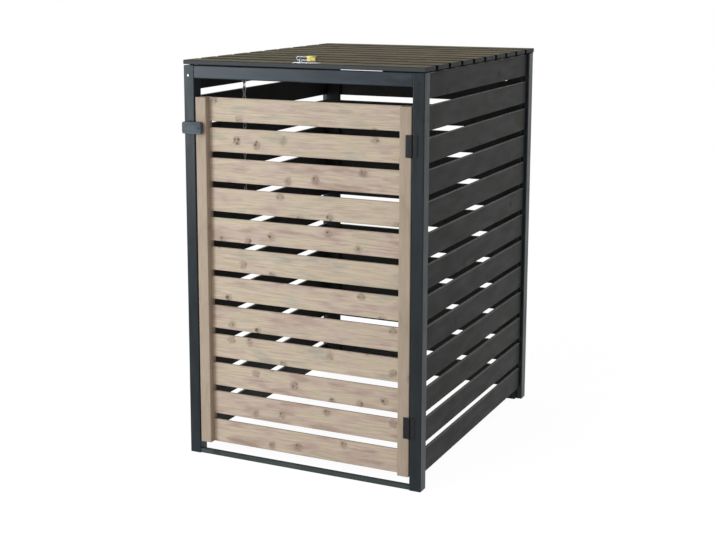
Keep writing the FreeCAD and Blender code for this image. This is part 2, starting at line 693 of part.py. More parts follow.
# Padlock on its side: the short leg of the shackle runs through the staple
lock_x = S.plate_x + S.lock_start
half = S.shackle_span / 2
middle_z = plate_top + S.lock_height + half
body = wire_body("shackle", [arch(half, S.shackle_wire,
                                  -(S.shackle_clear + S.shackle_seat_long),
                                  -(S.shackle_clear + S.shackle_seat_short))],
                 S.shackle_wire)[0]
ON_ITS_SIDE = FreeCAD.Rotation(V(0, 0, 1), V(-1, 0, 0), V(0, -1, 0), "ZXY")
keep("padlock_shackle",
     place(body, lock_x - S.shackle_clear, plate_y, middle_z, ON_ITS_SIDE))
body = new_body("lock")
sketch = new_sketch(body, "YZ_Plane")
y, z = S.lock_depth / 2, S.lock_width / 2
draw_loop(sketch, [(-y, -z), (y, -z), (y, z), (-y, z)])
round_long_edges(body, pad(body, sketch, S.lock_length), V(1, 0, 0), S.lock_round)
for seat_z, depth in ((-half, S.shackle_seat_short), (half, S.shackle_seat_long)):
    bore(body, "YZ_Plane", 0, [(0, seat_z)], S.shackle_wire + S.seat_air,
         depth + S.seat_air, True)
keep("padlock_body", place(body, lock_x, plate_y, middle_z))

# Nothing is written unless every object is sound
doc.recompute()
for thing in doc.Objects:
    faults = {"Invalid", "Error"}.intersection(thing.State)
    if faults:
        raise RuntimeError("%s: %s" % (thing.Label, faults))
for label, thing in nodes.items():
    if thing.Shape.isNull() or not thing.Shape.isValid():
        raise RuntimeError("%s has no sound shape" % label)
os.makedirs("parts", exist_ok=True)
for label, thing in nodes.items():
    thing.Shape.exportStep("parts/%s.step" % label)
print(len(nodes), "sub-parts written")
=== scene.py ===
# %% [markdown]
# # A wheelie bin store
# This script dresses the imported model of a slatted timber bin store. The construction comes
# in as a fixed frame: posts, slats, battens and ironmongery already stand where they belong,
# in metres, with +Z up and the door towards -Y. What is added here is what the eye judges:
# the softened edges of the boards, the grain and knots, the paint, the zinc and the brass.

# %% Load the frame
import math

import bmesh
import bpy
from mathutils import Matrix, Vector


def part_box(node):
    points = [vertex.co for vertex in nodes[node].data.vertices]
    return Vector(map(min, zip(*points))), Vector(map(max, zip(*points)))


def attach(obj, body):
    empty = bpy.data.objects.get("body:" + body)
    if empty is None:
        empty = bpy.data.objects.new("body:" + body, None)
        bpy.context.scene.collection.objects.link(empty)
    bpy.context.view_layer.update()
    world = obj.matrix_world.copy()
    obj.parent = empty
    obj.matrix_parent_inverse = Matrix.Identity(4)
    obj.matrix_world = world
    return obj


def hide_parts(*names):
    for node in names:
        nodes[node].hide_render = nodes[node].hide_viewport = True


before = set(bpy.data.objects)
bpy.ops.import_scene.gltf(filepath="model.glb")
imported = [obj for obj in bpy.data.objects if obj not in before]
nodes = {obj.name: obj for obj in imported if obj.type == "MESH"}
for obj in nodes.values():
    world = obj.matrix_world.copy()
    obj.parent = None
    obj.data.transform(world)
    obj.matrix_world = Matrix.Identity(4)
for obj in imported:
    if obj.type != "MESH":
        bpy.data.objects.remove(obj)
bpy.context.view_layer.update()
MM = 0.001

# %% [markdown]
# ## Reading places from the frame
# Every place below is worked out from the boxes of the frame's own pieces, so nothing can
# drift from the construction. `low` and `high` are the corners of a node's box at rest.


# %% Boxes of the pieces
def low(node):
    return Vector(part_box(node)[0])


def high(node):
    return Vector(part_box(node)[1])


def middle(node):
    return (low(node) + high(node)) / 2


DOOR_SLATS = sorted(name for name in nodes if name.startswith("door_slat_"))
LID_SLATS = sorted(name for name in nodes if name.startswith("lid_slat_"))
SOFT_EDGE = 4 * MM  # a lid board's rounded edge and the air beside it
slat_height = high(DOOR_SLATS[0]).z - low(DOOR_SLATS[0]).z
slat_pitch = low(DOOR_SLATS[1]).z - low(DOOR_SLATS[0]).z
lid_pitch = low(LID_SLATS[1]).y - low(LID_SLATS[0]).y
lid_middle = (low(LID_SLATS[0]).y + high(LID_SLATS[-1]).y) / 2
lid_half = high(LID_SLATS[-1]).y - lid_middle - SOFT_EDGE
print("slats", round(slat_height / MM), "mm every", round(slat_pitch / MM, 1), "mm")

# %% [markdown]
# ## The camera
# The photograph is a crop: its centre of view lies off the middle of the picture. A camera
# shift moves the frame without bending the verticals, which is what a crop does too.

# %% Camera
CAMERA_PLACE = Vector((1.6382, -3.6466, 1.4019))
TURN_LEFT, LOOK_DOWN, ROLL = 0.4571, 0.1708, -0.0022
LENS, SENSOR = 66.89, 36
SHIFT = (0.05, -0.1)

camera = bpy.data.objects.new("camera", bpy.data.cameras.new("camera"))
bpy.context.scene.collection.objects.link(camera)
bpy.context.scene.camera = camera
forward = Vector((-math.sin(TURN_LEFT) * math.cos(LOOK_DOWN),
                  math.cos(TURN_LEFT) * math.cos(LOOK_DOWN), -math.sin(LOOK_DOWN)))
level = Vector((math.cos(TURN_LEFT), math.sin(TURN_LEFT), 0))
above = level.cross(forward)
right = math.cos(ROLL) * level + math.sin(ROLL) * above
upward = -math.sin(ROLL) * level + math.cos(ROLL) * above
camera.matrix_world = Matrix((
    (right.x, upward.x, -forward.x, CAMERA_PLACE.x),
    (right.y, upward.y, -forward.y, CAMERA_PLACE.y),
    (right.z, upward.z, -forward.z, CAMERA_PLACE.z),
    (0, 0, 0, 1)))
camera.data.lens, camera.data.sensor_width = LENS, SENSOR
camera.data.shift_x, camera.data.shift_y = SHIFT
camera.data.clip_end = 50
print("camera at", [round(v, 2) for v in CAMERA_PLACE])

# %% [markdown]
# ## Helpers for materials
# Paint and stain are mixed as sRGB hex values, but the shader works in linear light,
# so one function converts them. A second one adds a node with its settings and its links;
# every tree below, for a material or for geometry, is written with it. The other two open
# and close a material. A value that is the same all over a surface is set on the shader
# itself, because an exported model loses it when it arrives through a link.


# %% Colour and node helpers
def linear(code):
    """sRGB hex to linear light."""
    channels = [int(code[i:i + 2], 16) / 255 for i in (0, 2, 4)]
    return tuple(c / 12.92 if c <= 0.04045 else ((c + 0.055) / 1.055) ** 2.4
                 for c in channels) + (1.0,)


def add(tree, kind, inputs=(), **settings):
    """Adds a node, sets its properties, and fills its sockets with values, sockets or nodes."""
    node = tree.nodes.new(kind)
    for name, value in settings.items():
        setattr(node, name, value)
    if not isinstance(inputs, dict):
        inputs = dict(enumerate(inputs))
    for name, value in inputs.items():
        if isinstance(value, bpy.types.Node):
            value = next(socket for socket in value.outputs if socket.enabled)
        if isinstance(value, bpy.types.NodeSocket):
            tree.links.new(value, node.inputs[name])
        else:
            node.inputs[name].default_value = value
    return node


def new_material(name):
    """A material with an empty tree, its shader and the object's own coordinates."""
    material = bpy.data.materials.new(name)
    material.use_nodes = True
    tree = material.node_tree
    tree.nodes.clear()
    shader = add(tree, "ShaderNodeBsdfPrincipled")
    add(tree, "ShaderNodeOutputMaterial", {"Surface": shader})
    where = add(tree, "ShaderNodeTexCoord").outputs["Object"]
    return material, tree, shader, where


def surface(tree, shader, colour, gloss, relief, sheen):
    """Links what varies over a surface, and sets the one sheen on the shader itself."""
    for socket, node in (("Base Color", colour), ("Roughness", gloss), ("Normal", relief)):
        tree.links.new(next(s for s in node.outputs if s.enabled), shader.inputs[socket])
    shader.inputs["Specular IOR Level"].default_value = sheen


print("helpers ready")

# %% [markdown]
# ## Timber: a log for every board
# Every board of the store is sawn from a small spruce log. A picture of wood would stretch
# and repeat, so the material follows the saw instead. It finds the board that a point lies
# in, draws random numbers for that board, and turns the point into a place in the board's
# own log, whose heart runs nearly along the board. No two boards match, although a whole
# row shares one material.


# %% The board and its log
LOG_LENGTH = 7.0  # metres of log that a board may come from
HEART_BEHIND, HEART_ASIDE = 35 * MM, 60 * MM  # how far a draw may move the heart
LOG_SLANT = 0.012  # and it lies 12 mm deeper with each metre of log


def board_and_log(tree, where, order, cell, start):
    """The board's random draw, and a point's place along, behind, beside and across."""
    here = add(tree, "ShaderNodeVectorMath", (where, start), operation="SUBTRACT")
    board = add(tree, "ShaderNodeVectorMath", (here, cell), operation="DIVIDE")
    board = add(tree, "ShaderNodeVectorMath", (board,), operation="FLOOR")
    chance = add(tree, "ShaderNodeTexWhiteNoise", (board,))
    draw = add(tree, "ShaderNodeSeparateColor", (chance.outputs["Color"],)).outputs
    inside = add(tree, "ShaderNodeVectorMath", (here, cell), operation="MODULO")
    parts = add(tree, "ShaderNodeSeparateXYZ", (inside,)).outputs
    run, through, across = (parts[i] for i in order)
    run = add(tree, "ShaderNodeMath", (draw[0], LOG_LENGTH, run), operation="MULTIPLY_ADD")
    deep = add(tree, "ShaderNodeMath", (draw[1], HEART_BEHIND, through),
               operation="MULTIPLY_ADD")
    deep = add(tree, "ShaderNodeMath", (run, LOG_SLANT, deep), operation="MULTIPLY_ADD")
    aside = add(tree, "ShaderNodeMath", (draw[2], -HEART_ASIDE, across),
                operation="MULTIPLY_ADD")
    return chance, run, deep, aside, across


print("a draw moves the heart up to", round(HEART_BEHIND / MM), "mm back and",
      round(HEART_ASIDE / MM), "mm aside")

# %% [markdown]
# ## Knots
# A knot is the foot of a branch. Small ones come in twos and threes, and the rings bend
# round them. Painting each one by hand would not carry over to other boards, so one Voronoi
# pattern places the branches, a second one with small cells draws the dark hearts near
# them, and a noise makes their edges as ragged as real ones.


# %% Knots
BRANCH_EVERY, HEART_EVERY, RAGGED = 85 * MM, 14 * MM, 4 * MM
SMUDGE_FROM, SMUDGE_FULL = 0.28, 0.13  # distances, in spaces between branches
HEART_FROM, HEART_FULL = 0.8, 0.5  # distances, in spaces between hearts
RAGGED_SMUDGE, RAGGED_HEART = 0.16, 0.45  # how far the noise moves their edges
HEART_SHRINK = 0.5  # the most that a draw takes off a heart
RING_BEND = 9 * MM  # how far a knot pushes the rings aside


def knot_marks(tree, run, across, share):
    """How near a branch is, and the dark heart of a knot, both from 0 to 1."""
    flat = add(tree, "ShaderNodeCombineXYZ", (run, across))
    ragged = add(tree, "ShaderNodeTexNoise", {"Vector": flat, "Scale": 1 / RAGGED})
    branch = add(tree, "ShaderNodeTexVoronoi", {"Vector": flat, "Scale": 1 / BRANCH_EVERY},
                 voronoi_dimensions="2D")
    kept = add(tree, "ShaderNodeSeparateColor", (branch.outputs["Color"],)).outputs[0]
    kept = add(tree, "ShaderNodeMath", (kept, 1 - share), operation="GREATER_THAN")
    branch = add(tree, "ShaderNodeMath", (ragged, RAGGED_SMUDGE, branch),
                 operation="MULTIPLY_ADD")
    near = add(tree, "ShaderNodeMapRange", {
        "Value": branch, "From Min": SMUDGE_FROM, "From Max": SMUDGE_FULL},
        interpolation_type="SMOOTHSTEP")
    near = add(tree, "ShaderNodeMath", (near, kept), operation="MULTIPLY")
    heart = add(tree, "ShaderNodeTexVoronoi", {"Vector": flat, "Scale": 1 / HEART_EVERY},
                voronoi_dimensions="2D")
    size = add(tree, "ShaderNodeSeparateColor", (heart.outputs["Color"],)).outputs[1]
    heart = add(tree, "ShaderNodeMath", (ragged, RAGGED_HEART, heart), operation="MULTIPLY_ADD")
    heart = add(tree, "ShaderNodeMath", (size, HEART_SHRINK, heart), operation="MULTIPLY_ADD")
    heart = add(tree, "ShaderNodeMapRange", {
        "Value": heart, "From Min": HEART_FROM, "From Max": HEART_FULL},
        interpolation_type="SMOOTHSTEP")
    heart = add(tree, "ShaderNodeMath", (heart, near), operation="MULTIPLY")
    return near, heart


print("branches may stand every", round(BRANCH_EVERY / MM), "mm")

# %% [markdown]
# ## Grain
# A flat-sawn board cuts the growth rings at a slant, and that gives the long arches on its
# face. Each ring darkens slowly and then ends, as late wood does, so its wave is a saw tooth.
# Over the rings lie fibres, streaks, and soft patches where the wood drank more stain. Wood
# cells are long, so every pattern is drawn out along the log, and each has a width in
# millimetres that it has in spruce.


# %% Grain
# how many times longer than wide, the width, and how rough: patches, streaks, fibres
GRAIN = ((4, 24 * MM, 0.5), (14, 5 * MM, 0.6), (40, 1.6 * MM, 0.6))
WAVE_PERIOD = 0.314  # metres between the rings of a Wave texture at scale 1


def grain(tree, log, ring):
    """Patches, streaks, fibres and rings of a log; ring is the width of a ring in mm."""
    drawn_out = [add(tree, "ShaderNodeVectorMath", (log, (1 / longer, 1, 1)),
                     operation="MULTIPLY") for longer, _, _ in GRAIN]
    patches, streaks, fibres = (
        add(tree, "ShaderNodeTexNoise", {"Vector": place, "Scale": 1 / width, "Detail": 3,
                                         "Roughness": rough})
        for place, (_, width, rough) in zip(drawn_out, GRAIN))
    rings = add(tree, "ShaderNodeTexWave", {
        "Vector": drawn_out[1], "Scale": WAVE_PERIOD / (ring * MM), "Distortion": 3.0,
        "Detail": 2, "Detail Scale": 0.15},
        wave_type="RINGS", rings_direction="X", wave_profile="SAW")
    return patches, streaks, fibres, rings


print("fibres are drawn", round(GRAIN[2][1] / MM, 1), "mm wide: real ones are too fine to show")

# %% [markdown]
# ## Weather and painted light
# Dirt gathers along the edges of the lid boards, and between them it lies in near-black painted
# shade. The rest goes by where a face looks, and is painted light: what looks up gets a lighter
# tone as a painted highlight, and the lid's sides a darker slate as painted shade beside tops
# that the sun has partly bleached. A mask could be painted, but the normal and the place on the
# board already say all of it.


# %% Weather and painted light
DIRTIEST = 0.85  # share of dirt at the very edge of a board


def weather_and_painted_light(tree, colour, where, across, order, cell, dirt, side=None, top=None, grime=None,
              gap=None):
    """Recolours for dirt, and paints light and shade by where a face looks.

    side and top are colours of the faces that look sideways or up: painted shade on the sides,
    a painted highlight on the tops; grime is the width of a dirty edge; gap is the colour
    between boards, near-black painted shade with some dirt, with the row's middle and half
    length."""
    if grime:
        centre = cell[order[2]] / 2
        off = add(tree, "ShaderNodeMath", (across, centre), operation="SUBTRACT")
        off = add(tree, "ShaderNodeMath", (off,), operation="ABSOLUTE")
        dirty = add(tree, "ShaderNodeMapRange", {
            "Value": off, "From Min": centre - grime - SOFT_EDGE,
            "From Max": centre - SOFT_EDGE, "To Max": DIRTIEST})
        colour = add(tree, "ShaderNodeMix", {"Factor": dirty, "A": colour, "B": linear(dirt)},
                     data_type="RGBA")
    if not (side or top or gap):
        return colour
    normal = add(tree, "ShaderNodeTexCoord").outputs["Normal"]
    normal = add(tree, "ShaderNodeSeparateXYZ", (normal,)).outputs
    # painted light by facing: a shaded colour on faces that look sideways, a painted highlight
    # on faces that look up
    for other, none, full in ((side, 0.8, 0.3), (top, 0.3, 0.8)):
        if other:
            facing = add(tree, "ShaderNodeMapRange", {
                "Value": normal["Z"], "From Min": none, "From Max": full})
            colour = add(tree, "ShaderNodeMix", {
                "Factor": facing, "A": colour, "B": linear(other)}, data_type="RGBA")
    # painted shade with some dirt: faces in the gaps between boards turn near black
    if gap:
        facing = add(tree, "ShaderNodeMath", (normal[order[2]],), operation="ABSOLUTE")
        within = add(tree, "ShaderNodeSeparateXYZ", (where,)).outputs[order[2]]
        within = add(tree, "ShaderNodeMath", (within, *gap[1:]), operation="COMPARE")
        share = add(tree, "ShaderNodeMath", (facing, within), operation="MULTIPLY")
        colour = add(tree, "ShaderNodeMix", {
            "Factor": share, "A": colour, "B": linear(gap[0])}, data_type="RGBA")
    return colour


print("weather ready")

# %% [markdown]
# ## The timber material
# Now the parts meet. A ramp of tones gives the board its ground colour, partly by the soft
# patches and partly by the board's own draw. Then darker marks are laid over it one by one,
# as the eye finds them on real spruce: rings, fibres, streaks, the smudge round a branch and
# the heart of a knot. The rings and fibres also lift the surface a little.


# %% Timber material
USUAL_LOW, USUAL_HIGH = 0.33, 0.67  # between these a Noise texture mostly keeps
PATCH_SHARE = 0.65  # of the tone; the rest is the board's own draw
RING_RELIEF, RELIEF = 0.3, 0.3 * MM  # the rings beside the fibres, and the height of both
HEART_SHARE, SMUDGE_SHARE = 0.95, 0.4  # how much of a knot's colour covers the wood


def timber(name, order, cell, start, tones, dark, knot, ring=3.4, depth=0.3, knots=0.5,
           roughness=0.6, sheen=0.3, bump=0.2, **weather):
    """Sawn softwood, stained or painted.

    order lists the axes along, through and across the board; cell and start part space into
    boards; tones runs through the colours of one board, and dark is its late wood."""
    material, tree, shader, where = new_material(name)
    chance, run, deep, aside, across = board_and_log(tree, where, order, cell, start)
    near, heart = knot_marks(tree, run, across, knots)
    deep = add(tree, "ShaderNodeMath", (near, RING_BEND, deep), operation="MULTIPLY_ADD")
    log = add(tree, "ShaderNodeCombineXYZ", (run, deep, aside))
    patches, streaks, fibres, rings = grain(tree, log, ring)
    tone = add(tree, "ShaderNodeMapRange", {
        "Value": patches, "From Min": USUAL_LOW, "From Max": USUAL_HIGH,
        "To Max": PATCH_SHARE})
    tone = add(tree, "ShaderNodeMath", (chance.outputs["Value"], 1 - PATCH_SHARE, tone),
               operation="MULTIPLY_ADD")
    colour = add(tree, "ShaderNodeValToRGB", (tone,))
    while len(colour.color_ramp.elements) < len(tones):
        colour.color_ramp.elements.new(0.5)
    for i, code in enumerate(tones):
        colour.color_ramp.elements[i].position = i / (len(tones) - 1)
        colour.color_ramp.elements[i].color = linear(code)
    for marks, none, full, most, code in (
            (rings, 0.55, 1, 0.6 * depth, dark), (fibres, 0.45, 0.75, 0.7 * depth, dark),
            (streaks, 0.42, 0.78, depth, dark), (near, 0, 1, SMUDGE_SHARE, knot),
            (heart, 0, 1, HEART_SHARE, knot)):
        share = add(tree, "ShaderNodeMapRange", {
            "Value": marks, "From Min": none, "From Max": full, "To Max": most})
        colour = add(tree, "ShaderNodeMix", {"Factor": share, "A": colour, "B": linear(code)},
                     data_type="RGBA")
    # then dirt, and the painted highlight and painted shade that the finish asks for
    colour = weather_and_painted_light(tree, colour, where, across, order, cell, knot, **weather)
    relief = add(tree, "ShaderNodeMath", (rings, RING_RELIEF, fibres), operation="MULTIPLY_ADD")
    relief = add(tree, "ShaderNodeBump", {"Height": relief, "Strength": bump,
                                          "Distance": RELIEF})
    gloss = add(tree, "ShaderNodeMapRange", {
        "Value": patches, "From Min": 0.3, "From Max": 0.7, "To Min": roughness - 0.06,
        "To Max": roughness + 0.08})
    surface(tree, shader, colour, gloss, relief, sheen)
    return material


print("timber takes tones, late wood and knots")

# %% [markdown]
# ## Stains and paints
# The door is stained taupe, thinly enough for the grain to show. The frame has a slate grey
# wood paint, which hides the colour of the wood and keeps a little of its relief. The sides
# and the back have the same paint gone dull, with a painted highlight on their upper faces, and
# the uprights inside are darkened as painted shade. The lid has lost some of its paint to the
# sun; its olive brown tops and slate sides are also painted light and shade. Every finish below
# is the one material with other colours, directions and sizes.

# %% Stains and paints
ALONG_X, ALONG_Y, UPRIGHT, LYING_FLAT = (0, 1, 2), (1, 0, 2), (2, 1, 0), (0, 2, 1)
# a cell of 10 m parts nothing, one of 0.5 m parts the front row from the back row
SLAT_CELL = (10, 0.5, slat_pitch)
SLAT_START = (-5, -0.249, low(DOOR_SLATS[0]).z - 5 * MM)
WIDE = (-5, -5, -0.25)
POSTS = (0.3, 0.4, 10), (-0.15, -0.2, -5)
# taupe stain on spruce: thin enough for grain and knots to show through, patchy where the
# wood drank more of it
stained_spruce = timber(
    "taupe stained spruce", ALONG_X, SLAT_CELL, SLAT_START,
    ("a18b7b", "b29b8c", "bda99b", "c3b09d", "c4b39b", "baae9c", "aaa194"), "806d5a",
    "5f4b3b", depth=0.4, knots=0.6, sheen=0.2)
# the stiles have the same stain on straighter wood, so they look calmer
stained_stile = timber(
    "taupe stained stile", UPRIGHT, (0.3, 10, 10), (-0.15, -5, -5),
    ("a08e7d", "ab9987", "a89782"), "7d6a59", "65503f", knots=0.3, depth=0.3, sheen=0.2)
# slate grey wood paint: opaque, so the grain shows as a little relief more than as colour
SLATE = {"dark": "15181a", "knot": "17191b", "depth": 0.25, "knots": 0.2, "sheen": 0.2}
painted_post = timber("slate painted post", UPRIGHT, *POSTS, ("1b2125", "20272b", "262d32"),
                      roughness=0.33, bump=0.15, **SLATE)
painted_rail = timber("slate painted rail", ALONG_X, (10, 10, 0.5), WIDE,
                      ("1e2529", "272e33", "323a40"), roughness=0.31, bump=0.15, **SLATE)
# the strip on the ground has the paint under a film of dust
painted_strip = timber("dusty painted strip", ALONG_X, (10, 10, 0.5), WIDE,
                       ("343b3b", "3e4645", "474f4d"), **SLATE)
# the side and back boards have the same paint without its blue: faintly olive and nearly matt;
# their upper faces get a lighter top colour, a painted highlight for the light that their
# rounded arrises catch
DULL = {**SLATE, "depth": 0.12, "sheen": 0.15, "bump": 0.05, "roughness": 0.6,
        "top": "80807a"}
painted_panel = timber("slate painted slat", ALONG_Y, (0.2, 10, slat_pitch),
                       (-0.1, -5, SLAT_START[2]), ("303031", "353535", "393932"), **DULL)
painted_back = timber("slate painted back slat", ALONG_X, SLAT_CELL, SLAT_START,
                      ("303031", "353535", "393932"), **DULL)
# the uprights inside the back: the dull paint made darker as painted shade, because hardly
# any light gets in there
shade_darkened_upright = timber("slate painted upright", UPRIGHT, *POSTS,
                         ("232425", "272828", "2b2b27"), **DULL)
# the latch block: the same slate paint, thumbed and chipped until it is grainy
worn_block = timber("worn slate painted block", ALONG_X, (10, 10, 0.5), WIDE,
                    ("30383c", "434c51", "566066"), "1d2225", "202527", ring=2.2, depth=0.7,
                    knots=0.1, bump=0.6)
# lid boards: rain and sun have taken some of the paint's blue off the top, and the rest of its
# olive brown is painted light; the slate sides are painted shade beside it, and the gaps are
# near-black painted shade with dirt washed into them
lit_and_weathered_lid = timber("weathered lid board", LYING_FLAT, (10, lid_pitch, 10),
                       (-5, low(LID_SLATS[0]).y - SOFT_EDGE, -5),
                       ("46442b", "5c5539", "74694d", "6b5d42"), "29261b", "12110d", ring=2.8,
                       depth=0.6, knots=0.3, roughness=0.6, sheen=0.05, bump=0.4,
                       # side: painted shade on faces that look sideways; gap: near-black
                       # painted shade with dirt
                       side="46484a", grime=9 * MM, gap=("0a0a0a", lid_middle, lid_half))
print(len(bpy.data.materials), "timber finishes")

# %% [markdown]
# ## Metals and rubber
# The ironmongery is cheap and plain: pressed steel under a thin bright coat of zinc, black
# japanned hinges, a solid brass padlock with a polished steel shackle. Bare metal is told
# by what it mirrors, so each gets fine scratches and dull patches in its roughness rather
# than a pattern in its colour.


# %% Metal and rubber materials
BLOOM, DENT = 12 * MM, 0.1 * MM  # width of a dull patch, depth of a scratch


def metal(name, colours, roughness, metallic=1.0, grit=1.5, brush=(1, 1, 1), bump=0.1,
          sheen=0.5):
    """Plated, cast or painted metal: patchy colour, uneven gloss, fine grit in mm."""
    material, tree, shader, where = new_material(name)
    patch = add(tree, "ShaderNodeTexNoise", {
        "Vector": where, "Scale": 1 / BLOOM, "Detail": 4, "Roughness": 0.65})
    patch = add(tree, "ShaderNodeMapRange", {
        "Value": patch, "From Min": 0.35, "From Max": 0.65})
    colour = add(tree, "ShaderNodeMix", {
        "Factor": patch, "A": linear(colours[0]), "B": linear(colours[1])}, data_type="RGBA")
    fine = add(tree, "ShaderNodeVectorMath", (where, brush), operation="MULTIPLY")
    fine = add(tree, "ShaderNodeTexNoise", {
        "Vector": fine, "Scale": 1 / (grit * MM), "Detail": 2})
    gloss = add(tree, "ShaderNodeMapRange", {
        "Value": fine, "From Min": 0.3, "From Max": 0.7, "To Min": roughness - 0.08,
        "To Max": roughness + 0.12})
    dent = add(tree, "ShaderNodeBump", {
        "Height": fine, "Strength": bump, "Distance": DENT})
    surface(tree, shader, colour, gloss, dent, sheen)
    shader.inputs["Metallic"].default_value = metallic
    return material


# zinc electroplate: pale, slightly blue, with the dull bloom of a thin coat
zinc = metal("bright zinc plate", ("b9bcbe", "a2a6a9"), 0.34)
# galvanised wire: greyer and grainier, with a zinc that scatters more than it mirrors
chain_zinc = metal("galvanised chain", ("c2c5c7", "9da1a3"), 0.4, metallic=0.6, grit=0.8)
# japanned hinge: a stoved black enamel, glossy where it ran thick
japan = metal("black japanned steel", ("1a1a1d", "131316"), 0.42, metallic=0.0, grit=0.9,
              bump=0.25, sheen=0.25)
# the pins: bare steel, dark with oil and handling
pin_steel = metal("worn hinge pin", ("6a6a6e", "4b4b50"), 0.35, grit=0.8)
# solid brass: pale yellow, brushed along the lock body
brass = metal("brushed brass", ("9c8c58", "746838"), 0.36, grit=1.2, brush=(0.15, 1, 1),
              bump=0.15)
# polished rod: thin bright lines run along the bow
shackle_steel = metal("polished shackle steel", ("a4a6a8", "8c8e91"), 0.22, grit=1.2)
# moulded rubber: black, dull, and faintly pebbled by its mould
rubber = metal("moulded rubber", ("242424", "1b1b1b"), 0.7, metallic=0.0, grit=0.6, bump=0.4)
print("metals ready")

# %% [markdown]
# ## Floor
# The photograph stands on pure white, which shows through every gap. More light would bleach
# the timber, so the floor is made white only for the camera and for mirror rays. Its plain
# pale shader still takes light and shade, and keeps the bin store's shadow.

# %% Floor
FLOOR_SIZE = 12.0
FLOOR_WHITE, FLOOR_GLOW = 0.9, 1.06  # share of white, and its strength
PAPER_COLOUR, PAPER_ROUGHNESS, PAPER_SHEEN = "f4f4f4", 0.9, 0.1
bm = bmesh.new()
bmesh.ops.create_grid(bm, x_segments=2, y_segments=2, size=FLOOR_SIZE / 2)
mesh = bpy.data.meshes.new("floor")
bm.to_mesh(mesh)
bm.free()
floor = bpy.data.objects.new("floor", mesh)
bpy.context.scene.collection.objects.link(floor)

floor_paper, tree, shader, _ = new_material("pale paper floor")
shader.inputs["Base Color"].default_value = linear(PAPER_COLOUR)
shader.inputs["Roughness"].default_value = PAPER_ROUGHNESS
shader.inputs["Specular IOR Level"].default_value = PAPER_SHEEN
path = add(tree, "ShaderNodeLightPath").outputs
seen = add(tree, "ShaderNodeMath", (path["Is Camera Ray"], path["Is Glossy Ray"]),
           operation="MAXIMUM")
share = add(tree, "ShaderNodeMath", (seen, FLOOR_WHITE), operation="MULTIPLY")
glow = add(tree, "ShaderNodeEmission", {"Color": linear("ffffff"), "Strength": FLOOR_GLOW})
paper = add(tree, "ShaderNodeMixShader", (share, shader, glow))
output = next(node for node in tree.nodes if node.type == "OUTPUT_MATERIAL")
tree.links.new(paper.outputs[0], output.inputs["Surface"])
floor.data.materials.append(floor_paper)
print("floor", FLOOR_SIZE, "m wide")

# %% [markdown]
# ## Backdrop and light
# The world is white to the camera in the same way, and lights the timber as an even sky. A
# cool soft window stands to the left: its sheen lies on the top of the left post and fades
# down and to the right, as in the photograph. A weak sun gives the boards their shadows.

# %% World and lamps
SKY_LIGHT, SUN_LIGHT, WINDOW_LIGHT = 0.48, 0.6, 38
SUN_FROM, SUN_SPREAD = Vector((-0.35, -1.0, 0.9)), math.radians(25)
WINDOW_WIDE, WINDOW_TALL, COOL = 0.9, 1.6, (0.86, 0.94, 1.0)
WINDOW_PLACE = Vector((-1.5, -2.3, 1.25))
WINDOW_AIM = Vector((-0.3, -0.45, 0.9))
world = bpy.data.worlds.new("studio")
bpy.context.scene.world = world
world.use_nodes = True
tree = world.node_tree
tree.nodes.clear()
path = add(tree, "ShaderNodeLightPath").outputs
seen = add(tree, "ShaderNodeMath", (path["Is Camera Ray"], path["Is Glossy Ray"]),
           operation="MAXIMUM")
seen = add(tree, "ShaderNodeMath", (seen, path["Is Transmission Ray"]), operation="MAXIMUM")
sky = add(tree, "ShaderNodeBackground", {"Color": linear("ffffff"), "Strength": SKY_LIGHT})
white = add(tree, "ShaderNodeBackground", {"Color": linear("ffffff"), "Strength": 1.0})
blend = add(tree, "ShaderNodeMixShader", (seen, sky, white))
add(tree, "ShaderNodeOutputWorld", {"Surface": blend})

sun = bpy.data.objects.new("key", bpy.data.lights.new("key", "SUN"))
sun.data.energy = SUN_LIGHT
sun.data.angle = SUN_SPREAD
sun.rotation_euler = SUN_FROM.to_track_quat("Z", "Y").to_euler()
bpy.context.scene.collection.objects.link(sun)

softbox = bpy.data.objects.new("softbox", bpy.data.lights.new("softbox", "AREA"))
softbox.data.shape = "RECTANGLE"
softbox.data.size, softbox.data.size_y = WINDOW_WIDE, WINDOW_TALL
softbox.data.energy = WINDOW_LIGHT
softbox.data.color = COOL
softbox.visible_camera = False
softbox.location = WINDOW_PLACE
softbox.rotation_euler = (WINDOW_AIM - WINDOW_PLACE).to_track_quat("-Z", "Y").to_euler()
bpy.context.scene.collection.objects.link(softbox)
bpy.context.scene.view_settings.view_transform = "Standard"
print("sky, sun and window ready")

# %% [markdown]
# ## Turned pieces
# Pins, washers and bumpers are turned on a lathe, and a profile swept round an axis makes
# them here. A cylinder with bevels would do too, but a profile says every step of the
# turning at once. A matrix then points the axis where the real piece looks.


# %% Turned pieces
def axes(x, y, z):
    """Matrix that sends a piece's own axes to the given directions."""
    return Matrix((x, y, z)).transposed().to_4x4()


FACING_UP = axes((1, 0, 0), (0, 1, 0), (0, 0, 1))
FACING_FRONT = axes((1, 0, 0), (0, 0, 1), (0, -1, 0))
FACING_RIGHT = axes((0, 1, 0), (0, 0, 1), (1, 0, 0))


def moved(turn, place):
    return Matrix.Translation(Vector(place)) @ turn


def turned(bm, profile, matrix, sides=32, ring=False):
    """Sweeps (radius, height) points round the local Z axis; ring closes the section."""
    loops = []
    for radius, height in profile:
        count = sides if radius else 1
        loops.append([bm.verts.new(matrix @ Vector((radius * math.cos(math.tau * i / count),
                                                    radius * math.sin(math.tau * i / count),
                                                    height))) for i in range(count)])
    for one, two in zip(loops, loops[1:] + loops[:1] if ring else loops[1:]):
        for i in range(sides):
            j = (i + 1) % sides
            corners = (one[i % len(one)], one[j % len(one)], two[j % len(two)],
                       two[i % len(two)])
            bm.faces.new(list(dict.fromkeys(corners)))


print("turned pieces ready")

